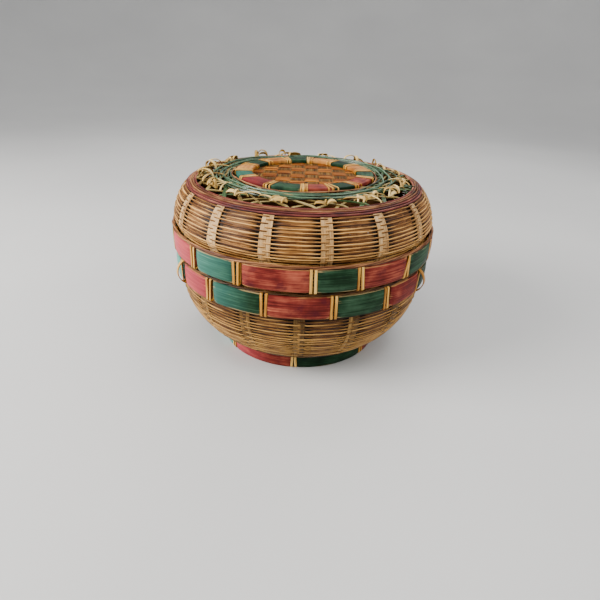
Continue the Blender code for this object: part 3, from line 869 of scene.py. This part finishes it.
red_paint = paint_finish(
    "red_paint", (0.032, 0.004, 0.004), (0.150, 0.018, 0.014), (0.42, 0.100, 0.055),
    (0.055, 0.006, 0.014), (0.42, 0.20, 0.07), (0.58, 0.080, 0.105))
green_paint = paint_finish(
    "green_paint", (0.002, 0.008, 0.003), (0.008, 0.028, 0.011), (0.038, 0.090, 0.048),
    (0.002, 0.010, 0.008), (0.36, 0.25, 0.11), (0.10, 0.36, 0.29))
bare_splint = paint_finish(
    "bare_splint", (0.12, 0.03, 0.006), (0.40, 0.15, 0.03), (0.66, 0.34, 0.09),
    (0.10, 0.025, 0.008), (0.36, 0.17, 0.05), (0.50, 0.27, 0.10), 0.5)
print("paints:", red_paint.name, green_paint.name, bare_splint.name)

# %% [markdown]
# ## Painted hoops
#
# Between two lashings the splint of a hoop bellies out, and under them it is drawn in. We draw
# its section once as a plane, belly the outer edge, round the corners, and spin it from one
# lashing to the next. Short steps at both ends leave cuts that can be drawn in towards the wall.
# At some lashings the splint stops short, and a black gap shows beside the strips.

# %% The section of a hoop
def middle_of(inner, outer, low, high):
    return Vector((0.0, -(inner + outer) / 2.0, (low + high) / 2.0)) * MM


def section(name, inner, outer, low, high):
    """A rectangle in the upright plane through the front and the axis."""
    middle = middle_of(inner, outer, low, high)
    tall = high - low
    made = primitive(
        "plane", name, size=tall * MM, location=middle, rotation=(0.0, math.pi / 2.0, 0.0))
    with editing(made):
        bpy.ops.transform.resize(value=(1.0, (outer - inner) / tall, 1.0), center_override=middle)
    return made


# %% One stretch of a hoop
END = 5.0                     # mm at each end of a stretch over which it is drawn in
PINCH = 1.1                   # mm that it is drawn in under its lashing


def stretch(name, inner, outer, low, high, start, end, belly):
    """A splint spun from start to end, its outer face bellied, or its top if it lies flat."""
    flat = outer - inner > high - low
    splint = section(name, inner, outer, low, high)
    middle = (low + high) / 2.0 * MM
    with editing(splint):
        if flat:
            pick(lambda place: place.z > middle)
        else:
            pick(lambda place: place.y < -(inner + outer) / 2.0 * MM)
        bpy.ops.mesh.subdivide(number_cuts=3)
        edge = high * MM if flat else -outer * MM
        along = 1 if flat else 2
        centre = -(inner + outer) / 2.0 * MM if flat else middle
        reach = (outer - inner if flat else high - low) / 2.0 * MM

        def inside(place, limit):
            near = abs((place.z if flat else place.y) - edge) < 0.01 * MM
            return near and abs(place[along] - centre) < limit * reach
        for limit, share in ((0.7, 0.7), (0.2, 0.3)):
            pick(lambda place: inside(place, limit))
            push = belly * share * MM
            bpy.ops.transform.translate(value=(0.0, 0.0, push) if flat else (0.0, -push, 0.0))
            edge = edge + push if flat else edge - push
        pick(lambda place: abs(place[along] - centre) > 0.9 * reach)
        bpy.ops.mesh.bevel(offset=0.5 * MM, segments=2, affect="VERTICES")
    splint.data.transform(turned_by(start))
    run = math.degrees(END / outer)
    with editing(splint):
        for angle, steps in ((run, 4), (end - start - 2.0 * run, 10), (run, 4)):
            bpy.ops.mesh.spin(steps=steps, angle=-math.radians(angle), center=(0.0, 0.0, 0.0),
                              axis=(0.0, 0.0, 1.0))
        for cut in range(4):
            share = (1.0 - cut / 4.0) ** 2
            sites = (start + cut * run / 4.0, end - cut * run / 4.0)
            pick(lambda place: min(abs(around(azimuth_of(place), site)) for site in sites) < 0.1)
            if flat:
                bpy.ops.transform.translate(value=(0.0, 0.0, -0.8 * PINCH * share * MM))
            else:
                inwards = 1.0 - PINCH * share / outer
                bpy.ops.transform.resize(value=(inwards, inwards, 1.0 - 0.03 * share),
                                         center_override=(0.0, 0.0, middle))
        face_outwards()
    return splint


# %% Number a stretch, and note its ends and its painted sheen
SHEEN_SIDE, SHEEN_RUN = -70.0, 52.0   # degrees: where the painted sheen is strongest, and how far it reaches


def map_stretch(splint, number, start, end, low, high, flat=False):
    """UV map of a stretch, and notes of how near its ends each corner is and of its painted sheen.
    """
    data = splint.data
    azimuth, radius, height = ring_shape(splint)
    azimuth = np.degrees(azimuth)
    turn = around(azimuth, (start + end) / 2.0)
    half = (end - start) / 2.0
    along = np.radians(turn + half) * radius.mean() / STRAND_MM
    across = ((radius if flat else height) - low) / (high - low)
    if flat:
        across = 0.1 + 0.8 * across
    of_loop = np.empty(len(data.loops), dtype=int)
    data.loops.foreach_get("vertex_index", of_loop)
    pairs = np.stack([along[of_loop], number + np.clip(across[of_loop], 0.004, 0.996)], 1)
    uv_of(splint).foreach_set("vector", pairs.ravel())
    near_end = 1.0 - np.clip(np.radians(half - np.abs(turn)) * radius / END, 0.0, 1.0)
    # Painted sheen: strongest towards the window lamp, and weaker on the flat top hoop.
    faded = np.clip(1.0 - np.abs(around(azimuth, SHEEN_SIDE)) / SHEEN_RUN, 0.0, 1.0)
    if flat:
        faded = faded * 0.25
    for key, values in (("end", near_end), ("faded", faded)):
        data.attributes.new(key, "FLOAT", "POINT").data.foreach_set("value", values)


# %% Lashings of the four hoops
def lashings(seen, hidden):
    """The azimuths of the lashings that can be seen, and even ones round the back."""
    step = (seen[0] + 360.0 - seen[-1]) / hidden
    return list(seen) + [seen[-1] + step * (i + 1) for i in range(hidden - 1)] + [seen[0] + 360.0]


FOOT = lashings((-52.0, -2.7, 50.0), 6)
BODY = lashings((-60.0, -38.5, -13.5, 12.7, 35.5, 58.5), 11)
LID = lashings((-69.0, -46.5, -24.0, 4.5, 22.0, 44.5, 67.0), 10)
TOP = lashings((-85.0, -60.0, -29.0, 0.0, 22.0, 45.0, 72.0, 100.0), 7)
print("lashings:", [len(hoop) - 1 for hoop in (FOOT, BODY, LID, TOP)])

# %% Paint the hoops
OPEN_RIGHT = {"body": (0, 1, 4), "lid": (1, 2)}   # fields that start past a black gap
FIRST_FIELD = {"body": 22, "lid": 239}            # so that neighbours differ in their stains
BESIDE, BLACK_GAP = 0.55, 4.2                     # mm from a lashing's middle to the splint
PAINTS = {"red": (red_paint, "paint_red"), "green": (green_paint, "paint_green"),
          "bare": (bare_splint, "root_brown")}


def painted(hoop, inner, outer, low, high, sites, colours, body):
    """All stretches of a hoop, joined by colour. Each colour is one piece."""
    flat = outer - inner > high - low
    limits = (inner, outer) if flat else (low, high)
    by_colour = {}
    for number, (left, right) in enumerate(zip(sites, sites[1:])):
        gap = BLACK_GAP if number in OPEN_RIGHT.get(hoop, ()) else BESIDE
        start, end = left + math.degrees(gap / outer), right - math.degrees(BESIDE / outer)
        splint = stretch("splint", inner, outer, low, high, start, end, 0.3 if flat else 0.5)
        map_stretch(splint, FIRST_FIELD.get(hoop, 0) + number, start, end, *limits, flat)
        by_colour.setdefault(colours[number % len(colours)], []).append(splint)
    for colour, splints in by_colour.items():
        finish, slot = PAINTS[colour]
        dress(joined(splints, f"{hoop}_hoop_{colour}"), finish, body, slot, f"{hoop}_hoop")


painted("foot", 63.4, 66.0, 0.2, 11.2, FOOT, ("red", "green"), "basket")
painted("body", 97.4, 100.0, 64.0, 80.0, BODY, ("red", "green"), "basket")
painted("lid", 98.6, 101.2, 83.9, 99.4, LID, ("red", "green"), "lid")
painted("top", 40.0, 52.0, 133.7, 136.2, TOP,
        ("green", "red") * 3 + ("green",) + ("bare", "green") * 3 + ("bare",), "lid")

# %% [markdown]
# ## Lashings
#
# A lashing is a narrow strip of bare root that goes round the hoop twice, and four times round
# the top hoop. We could lay a bent strip over the front, but the real one closes behind the hoop.
# So it is drawn as the outline of the hoop's section: a plane with rounded corners, its face
# taken out, its edge pulled sideways to the width of the strip and thickened. Copies side by
# side, with dark slits between them, make one lashing. A few on the body have sprung away from
# the hoop, and those get a bowed front.

# %% One strip round a hoop
def strap(name, inner, outer, low, high, wide, bow=0.0):
    """A strip round the section of a hoop. bow says how many mm its front stands out."""
    strip = section(name, inner, outer, low, high)
    centre = middle_of(inner, outer, low, high)
    with editing(strip):
        if bow:
            pick(lambda place: place.y < centre.y)
            bpy.ops.mesh.subdivide(number_cuts=7)
            for cut in range(1, 8):
                level = (low + (high - low) * cut / 8.0) * MM
                pick(lambda place: place.y < centre.y and abs(place.z - level) < 0.3 * MM)
                push = bow * math.sin(math.pi * cut / 8.0) ** 0.7
                bpy.ops.transform.translate(value=(0.0, -push * MM, 0.0))
        pick(lambda place: abs(place.z - centre.z) > (high - low) * 0.49 * MM)
        bpy.ops.mesh.bevel(offset=0.8 * MM, segments=3, affect="VERTICES")
        bpy.ops.mesh.select_all(action="SELECT")
        bpy.ops.mesh.delete(type="ONLY_FACE")
        bpy.ops.mesh.select_all(action="SELECT")
        bpy.ops.transform.translate(value=(-wide / 2.0 * MM, 0.0, 0.0))
        bpy.ops.mesh.extrude_region_move(TRANSFORM_OT_translate={"value": (wide * MM, 0.0, 0.0)})
        face_outwards()
    finished_with(strip, "SOLIDIFY", thickness=0.6 * MM, offset=1.0)
    finished_with(strip, "BEVEL", width=0.16 * MM, segments=2, limit_method="ANGLE")
    uv = uv_of(strip)
    for loop in strip.data.loops:
        place = strip.data.vertices[loop.vertex_index].co / MM
        across = min(0.996, max(0.004, 0.5 + place.x / (wide + 0.1)))
        uv[loop.index].vector = ((place.z - place.y) / STRAND_MM, across)
    return strip


# %% Bind the hoops
def lashed(name, sites, inner, outer, low, high, wide, places, body, sprung=()):
    """A strip at each of the given places beside every lashing's middle, each at its own slant.

    places are in mm. At the lashings that are named as sprung, the last strip is a loose one.
    """
    tight = strap("tight", inner, outer, low, high, wide)
    loose = strap("loose", inner, outer, low, high, wide * 1.7, 4.2) if sprung else None
    upright = outer - inner < high - low
    middle = middle_of(inner, outer, low, high)
    strips = []
    for number, site in enumerate(sites[:-1]):
        for turn, place in enumerate(places):
            luck = noise.noise(Vector((number * 3.7, turn * 2.1, len(sites))))
            is_loose = number in sprung and turn == len(places) - 1
            slant = Matrix.Rotation(math.radians(20.0 * luck), 4, "Y" if upright else "Z")
            shift = math.degrees(place / outer) + 0.7 * luck
            broader = Matrix.Scale(1.0 + 0.5 * luck * (-1) ** turn, 4, (1.0, 0.0, 0.0))
            change = (turned_by(site + shift) @ Matrix.Translation(middle) @ slant @ broader
                      @ Matrix.Translation(-middle))
            strips.append(copy_of(loose if is_loose else tight, change))
            number_strand(strips[-1], number * len(places) + turn)
    for pattern in filter(None, (tight, loose)):
        bpy.data.objects.remove(pattern)
    node = "foot_binding" if name == "foot_hoop" else f"{name}_binding"
    dress(joined(strips, f"{name}_lashing"), binding_root, body, "binding_yellow", node)


lashed("foot_hoop", FOOT, 62.9, 66.0, 0.9, 11.3, 1.8, (-1.5, 1.4), "basket")
lashed("body_hoop", BODY, 96.9, 99.7, 63.7, 80.1, 1.9, (-1.5, 1.4), "basket", (0, 5))
lashed("lid_hoop", LID, 98.1, 100.9, 83.6, 99.6, 1.9, (-1.5, 1.4), "lid")
lashed("top_hoop", TOP, 39.8, 52.2, 133.2, 136.0, 1.1, (-2.3, -0.8, 0.7, 2.2), "lid")

# %% [markdown]
# ## Twisted strands and plain hoops
#
# Where a wall meets its hoop, two or three strands are twisted together and cover the joint. Each
# is a torus whose cuts are carried round a small circle, as the twist carries the strand. A whole
# number of turns lets it close without a seam. The hoops inside the walls and the collar that the
# lid sits round are plain bent splints with rounded edges: the same section as before, spun all
# the way round.

# %% Twist strands
def twist(name, radius, height, thick, turns, count, first=0):
    """A cord of a few strands round the basket, twisted so many times on its way."""
    strands = []
    for number in range(count):
        strand = ring(name, radius, thick, 256, 6)
        azimuth, out, up = ring_shape(strand)
        phase = turns * azimuth + 2.0 * math.pi * number / count
        put_ring(strand, azimuth, out + thick * np.cos(phase),
                 up + thick * np.sin(phase) + height)
        number_strand(strand, first + number)
        strands.append(strand)
    return joined(strands, name)


# The body's cord lies in the joint under the lid's hoop; its near-black root paints the shade
# there.
body_cord = twist("body_rim_cord", 98.6, 80.8, 0.55, 23, 2)
dress(body_cord, shaded_low_root, "basket", "root_pale", "body_rim_strand")
lid_cord = twist("lid_rim_cord", 100.2, 100.4, 0.66, 11, 3, 4)
dress(lid_cord, dyed_brown_root, "lid", "dyed_red", "lid_rim_strand")


# %% Spin plain hoops
def plain_hoop(name, inner, outer, low, high):
    """A bent splint whose long edges are rounded by 0.4 mm."""
    hoop = section(name, inner, outer, low, high)
    with editing(hoop):
        bpy.ops.mesh.bevel(offset=0.4 * MM, segments=2, affect="VERTICES")
        bpy.ops.mesh.spin(steps=96, angle=-2.0 * math.pi, center=(0.0, 0.0, 0.0),
                          axis=(0.0, 0.0, 1.0))
        bpy.ops.mesh.select_all(action="SELECT")
        bpy.ops.mesh.remove_doubles(threshold=0.01 * MM)
        face_outwards()
    map_stretch(hoop, 1, -180.0, 180.0, low, high)
    return hoop


for node, body, limits in (("body_inner_hoop", "basket", (90.6, 92.8, 66.4, 82.2)),
                           ("seat_collar", "basket", (88.3, 90.3, 70.4, 90.9)),
                           ("lid_inner_hoop", "lid", (91.2, 94.0, 82.6, 98.5))):
    dress(plain_hoop(f"{node}_splint", *limits), brown_root, body, "root_brown", node)

# %% [markdown]
# ## Strips of root on a path
#
# The openwork, the plaited discs and the loops are all strips that follow a path. A bevelled
# curve would turn their faces by itself in the bends, and here the faces have to look a certain
# way. So each one starts as a grid with as many cuts as its path has points. The cuts are set on
# the path, square to it, and the strip gets its thickness at the end, like the straps.

# %% Set a strip on a path
def ribbon(name, path, wide, thick, number, ups=None, camber=0.12):
    """A strip along a path in mm. ups says which way its face looks at each point.

    camber is how far its middle stands above its edges.
    """
    path = np.asarray(path, dtype=float)
    count = len(path)
    strip = primitive("grid", name, size=2.0, x_subdivisions=count - 1, y_subdivisions=2)
    places = corners(strip)
    index = np.rint((places[:, 0] + 1.0) / 2.0 * (count - 1)).astype(int)
    ups = np.tile((0.0, 0.0, 1.0), (count, 1)) if ups is None else np.asarray(ups)
    ahead = np.gradient(path, axis=0)
    side = np.cross(ups, ahead)
    side /= np.linalg.norm(side, axis=1)[:, None]
    face = np.cross(ahead, side)
    face /= np.linalg.norm(face, axis=1)[:, None]
    width = np.broadcast_to(wide, count)[index]
    across = places[:, 1]
    sideways = side[index] * (across * width / 2.0)[:, None]
    bulge = face[index] * (camber * (1.0 - across ** 2))[:, None]
    put_corners(strip, (path[index] + sideways + bulge) * MM)
    length = np.linalg.norm(np.diff(path, axis=0), axis=1).sum()
    with editing(strip):
        face_outwards()
    finished_with(strip, "SOLIDIFY", thickness=thick * MM, offset=0.0)
    number_strand(strip, number, length / STRAND_MM)
    return strip


# %% Plait a disc
def plaited(name, radius, height, wide, fine, body, slot, finishes, node):
    """Splints across, three side by side, and bundles of fine strands over and under them.

    wide is the width of three splints and of one bundle, and fine that of one fine strand.
    """
    def wave(along, turn):
        return 0.42 * np.clip(2.0 * np.sin(np.pi * along / wide + np.pi * turn), -1.0, 1.0)
    rows = int(radius / wide)
    splints = []
    for number in range(-3 * rows, 3 * rows):
        y = (number + 0.5) * wide / 3.0
        half = math.sqrt(max(0.0, radius ** 2 - (abs(y) + wide / 6.0) ** 2))
        if half > wide:
            x = np.linspace(-half, half, 60)
            path = np.stack([x, np.full(60, y), height + wave(x, number // 3)], 1)
            splints.append(ribbon("splint", path, wide * 0.31, 0.5, number + 3 * rows))
    dress(joined(splints, f"{name}_splints"), finishes[0], body, slot, node)
    strands = []
    for line in range(-int(radius / fine) + 1, int(radius / fine)):
        x = (line + 0.5) * fine
        half = math.sqrt(max(9.0, radius ** 2 - (abs(x) + fine) ** 2))
        y = np.linspace(-half, half, 48)
        path = np.stack([np.full(48, x), y, height - wave(y, math.floor(x / wide))], 1)
        strands.append(ribbon("strand", path, fine * 0.82, 0.45, line + 200))
    dress(joined(strands, f"{name}_strands"), finishes[1], body, slot, node)


plaited("top_disc", 50.0, 132.9, 10.6, 1.18, "lid", "root_brown", (splint_root, fine_root),
        "top_disc")
plaited("base_mat", 62.5, 12.3, 12.5, 4.1, "basket", "root_brown", (splint_root, brown_root),
        "base_mat")
rings = []
for number in range(11):
    rings.append(ring("ring", 58.0 + number, 0.62, 128, 6, 13.1))
    number_strand(rings[-1], number)
dress(joined(rings, "base_mat_rings"), brown_root, "basket", "root_brown", "base_mat")

# %% [markdown]
# ## Openwork
#
# Between the shoulder and the top hoop the maker crossed narrow slats of pale root, both ways. A
# sheet with holes in it would be quicker, but its slats couldn't lie over one another. Each slat
# is almost a straight line: it starts under the dyed rows and touches the wreath. Those that lean
# one way lie over those that lean the other way. Some are green, more of them at the right, and
# no two are quite as wide.

# %% Cross the slats
SLATS, SLAT_CUTS = 30, 20     # slats that lean one way, and points along each
RIM_R, NEAREST_R = 82.6, 57.5   # mm from the axis: where a slat starts, and its nearest point
TO_NEAREST = 45.9             # degrees round the basket from one to the other


def polar(radius, azimuth, height):
    """A point given in millimetres and degrees."""
    angle = math.radians(azimuth)
    return Vector((radius * math.sin(angle), -radius * math.cos(angle), height)) * MM


def slat_path(start, lean, level, sweep):
    """From the rim at an azimuth towards the wreath. lean is 1 or -1."""
    points = []
    for share in np.linspace(0.0, 1.0, SLAT_CUTS):
        turn = sweep * share
        r = min(RIM_R, NEAREST_R / math.cos(math.radians(max(0.0, TO_NEAREST - turn))))
        r -= 4.5 * max(0.0, share - 0.78) / 0.22                    # the end bends inwards
        rise = (RIM_R - r) / 29.0 * 1.4 + 0.5 * math.sin(9.0 * share + start)
        rise -= 1.3 * max(0.0, (r - 80.0) / 2.6)                    # the start dips under the rows
        points.append(tuple(polar(r, start + lean * turn, level + rise) / MM))
    return points


slats = {"cream": [], "green": []}
for lean, level in ((1, 131.0), (-1, 132.0)):
    for number in range(SLATS):
        luck = [noise.noise(Vector((number * 1.37, lean * 5.1, i * 2.3))) for i in range(4)]
        start = number * 360.0 / SLATS + 7.0 * luck[0] + (2.0 if lean > 0 else 7.5)
        middle = around(start + lean * 14.0, 0.0)
        wide = (1.75 + 1.5 * luck[1]) * np.linspace(1.15, 0.75, SLAT_CUTS)
        green = number % 4 == 2 or (30.0 < middle < 90.0 and number % 3 != 1)
        path = slat_path(start, lean, level + 0.5 * luck[2], 44.0 + 6.0 * luck[3])
        strip = ribbon("slat", path, wide, 0.6, number + lean * 50)
        slats["green" if green else "cream"].append(strip)
for colour, finish, slot in (("cream", cream_root, "root_pale"),
                             ("green", green_strip, "dyed_green")):
    dress(joined(slats[colour], f"openwork_{colour}_slats"), finish, "lid", slot,
          "openwork_lower", "openwork_upper")

# %% [markdown]
# ## Green wreath
#
# Fine green strands run side by side round the top hoop in long low arcs, with one red strand
# next to the hoop. They spread and close again, and here and there one crosses its neighbour, so
# the dark inside shows between them. They are tori, and each cut is carried in and out and up and
# down.

# %% Lay the wreath
WREATH_Z = 133.9              # mm
by_node = {1: [], 2: [], 3: []}
red_strands = []
for number in range(8):
    thick = 0.62 - 0.07 * (number % 3)
    strand = ring("fine_strand", 60.0, thick, 240, 6)
    azimuth, out, up = ring_shape(strand)
    base = -5.4 + 1.95 * number
    swing = 1.7 * np.sin(3.0 * azimuth + 2.1 * number) + 0.9 * np.sin(7.0 * azimuth + 4.0 * number)
    lift = 0.5 * np.sin(5.0 * azimuth + 1.9 * number) + 0.3 * math.cos(2.0 * number)
    put_ring(strand, azimuth, out + base + swing * min(1.0, 0.3 + 0.3 * number),
             up + WREATH_Z + lift)
    number_strand(strand, number)
    (red_strands if number == 0 else by_node[1 + number % 3]).append(strand)
dress(joined(red_strands, "red_wreath"), dyed_brown_root, "lid", "dyed_red", "wreath_strand_1")
for node, strands in by_node.items():
    dress(joined(strands, f"green_wreath_{node}"), dyed_green_root, "lid", "dyed_green",
          f"wreath_strand_{node}")

# %% [markdown]
# ## Bows
#
# Sixteen bows of pale root lie round the openwork, no two alike. Most have two lobes side by side
# along the rim, broad in their middle and narrow where they dive under the slats, and a short
# strip tied over the place where they meet. Some are a single crescent, some stand up as loops on
# two legs, and some end in a small ring. Every part of a bow is a strip on half an ellipse, whose
# face looks away from the middle of the arch and is rolled to one side.

# %% One strip of a bow
BOW_R, BOW_Z = 75.5, 132.3    # mm: the circle that the bows lie on


def arch(place, number, heading, long, high, wide, roll, shift, ends, thick):
    """One strip of the bow at an azimuth, with a number for its tone.

    heading is its direction: 0 runs along the rim, and 90 to the middle. long, high and wide are
    its size, roll turns its face, and shift moves it along the rim and outwards. ends is the width
    of its ends against its middle.
    """
    turns = np.linspace(0.03 * math.pi, 0.97 * math.pi, 15)
    points, looks = [], []
    for turn in turns:
        points.append((-long / 2.0 * math.cos(turn), 0.0, high * math.sin(turn) ** 0.7))
        look = Vector((-math.cos(turn) / long, 0.0, math.sin(turn) / (2.0 * high))).normalized()
        look.rotate(Matrix.Rotation(math.radians(roll), 3, "X"))
        looks.append(tuple(look))
    around_z = Matrix.Rotation(math.radians(place + heading), 3, "Z")
    base = polar(BOW_R + shift[1], place, BOW_Z) / MM
    side = Matrix.Rotation(math.radians(place), 3, "Z") @ Vector((shift[0], 0.0, 0.0))
    points = np.array(points) @ np.array(around_z).T + np.array(base + side)
    looks = np.array(looks) @ np.array(around_z).T
    broad = wide * (ends + (1.0 - ends) * np.sin(turns) ** 0.8)
    return ribbon("arch", points, broad, thick, number, looks, 0.3)


# %% Choose the strips of a bow
CRESCENTS, LOOPS, RINGED = (0, 5, 8, 11), (3, 7, 10, 12, 13), (2, 6, 9, 14)
WITH_CURLS = (2, 3, 4, 12, 13, 14)   # these have four thin loose strips more


def bow_strips(number, luck, tall):
    """Heading, length, height, width, roll, shift, ends and thickness of each strip."""
    turned, out = 30.0 * luck[0], 3.0 * luck[11]
    if number in CRESCENTS:
        strips = [(turned, 12.0, 2.2 * tall, 3.6, 46.0 + 30.0 * luck[4], (0.0, out), 0.2, 0.45),
                  (turned + 25.0, 9.0, 3.0 * tall, 2.2, 15.0, (-2.0, out - 1.8), 0.4, 0.4),
                  (turned + 70.0, 7.0, 2.6 * tall, 2.0, 20.0, (3.5, out - 1.0), 0.5, 0.3)]
    else:
        strips = [(turned - 8.0, 10.0 + 3.0 * luck[1], (2.0 + luck[2]) * tall,
                   3.6 + 2.4 * luck[3], 42.0 + 60.0 * luck[4], (-4.0, out + 2.0 * luck[5]),
                   0.25, 0.45)]
    if number in LOOPS:
        for lean in (-1, 1):
            strips.append((90.0 - 34.0 * lean + 20.0 * luck[6], 13.0, 4.2 * tall, 2.9,
                           22.0 * lean * luck[7], (3.2 * lean, out - 1.5), 0.55, 0.35))
    elif number not in CRESCENTS:
        strips.append((turned + 14.0, 9.0 + 3.0 * luck[6], (2.2 + luck[7]) * tall,
                       3.4 + 2.4 * luck[8], 38.0 + 60.0 * luck[9], (3.8, out + 2.0 * luck[3]),
                       0.25, 0.45))
        strips.append((80.0 + 60.0 * luck[2], 4.6, 2.9 * tall, 1.7, 10.0, (0.0, out - 0.6),
                       0.7, 0.3))
    if number in RINGED:
        strips.append((15.0 * luck[5], 5.0, 4.4 * tall, 2.0, 62.0, (7.5, out), 0.8, 0.35))
    if number % 3 != 1:
        lean = 1 if number % 2 else -1
        strips.append((90.0 - 50.0 * lean + 30.0 * luck[6], 17.0, 2.4 * tall, 2.6,
                       16.0 * luck[5], (8.0 * lean, -3.5), 0.6, 0.3))
    if number in WITH_CURLS:
        for i in range(4):
            strips.append((30.0 + 40.0 * i + 60.0 * luck[i + 3], 19.0 + 8.0 * luck[i], 2.8, 1.5,
                           30.0 * luck[i + 6], (4.0 * i - 4.0, 8.0 * luck[i + 1] - 4.0),
                           0.75, 0.3))
    return strips


# %% Tie the bows
BOWS = 16
for number in range(BOWS):
    azimuth = -12.0 + number * 360.0 / BOWS
    luck = [noise.noise(Vector((number * 2.3, i * 1.7, 3.1))) for i in range(12)]
    tall = 1.0 + (0.5 if azimuth > 195.0 else 0.15)
    large = 0.82 + 0.5 * luck[10] + (0.15 if number in RINGED else 0.0)
    arches = []
    for heading, long, high, wide, *rest in bow_strips(number, luck, tall):
        arches.append(arch(azimuth, number * 5 + len(arches), heading, long * large, high,
                           wide * large, *rest))
    dress(joined(arches, f"bow_{number + 1:02d}"), loop_root, "lid", "loop_cream",
          f"curl_{number + 1:02d}")

# %% [markdown]
# ## The floor
#
# The basket stands on a plain pale floor, which isn't part of it. It is one sheet, as in a
# studio: a round plane whose rim is pulled up all round, with the fold rounded off, so that no
# horizon shows from any side. Its finish gets a breath of unevenness, so that it doesn't look
# like a void.

# %% Lay the floor
FLOOR_R, PULLED_UP, FOLD = 2.8, 2.6, 1.5   # metres

floor = primitive("circle", "floor", radius=FLOOR_R, vertices=96, fill_type="NGON")
with editing(floor):
    bpy.ops.mesh.extrude_region_move(TRANSFORM_OT_translate={"value": (0.0, 0.0, PULLED_UP)})
    bpy.ops.mesh.delete(type="ONLY_FACE")
    pick(lambda place: place.z < 0.1)
    bpy.ops.mesh.bevel(offset=FOLD, segments=16)
    bpy.ops.mesh.select_all(action="SELECT")
    bpy.ops.mesh.normals_make_consistent(inside=True)
alone(floor)
bpy.ops.object.shade_smooth()
paper = Finish("pale_floor", 0.75)
grey = paper.cloud(paper.node("TexCoord", {}, {}, 3), 3.0, 3.0)
tone = paper.ramp(grey, (0.3, (0.53, 0.53, 0.53)), (0.7, (0.58, 0.58, 0.575)))
paper.set("Base Color", tone)
floor.data.materials.append(paper.material)
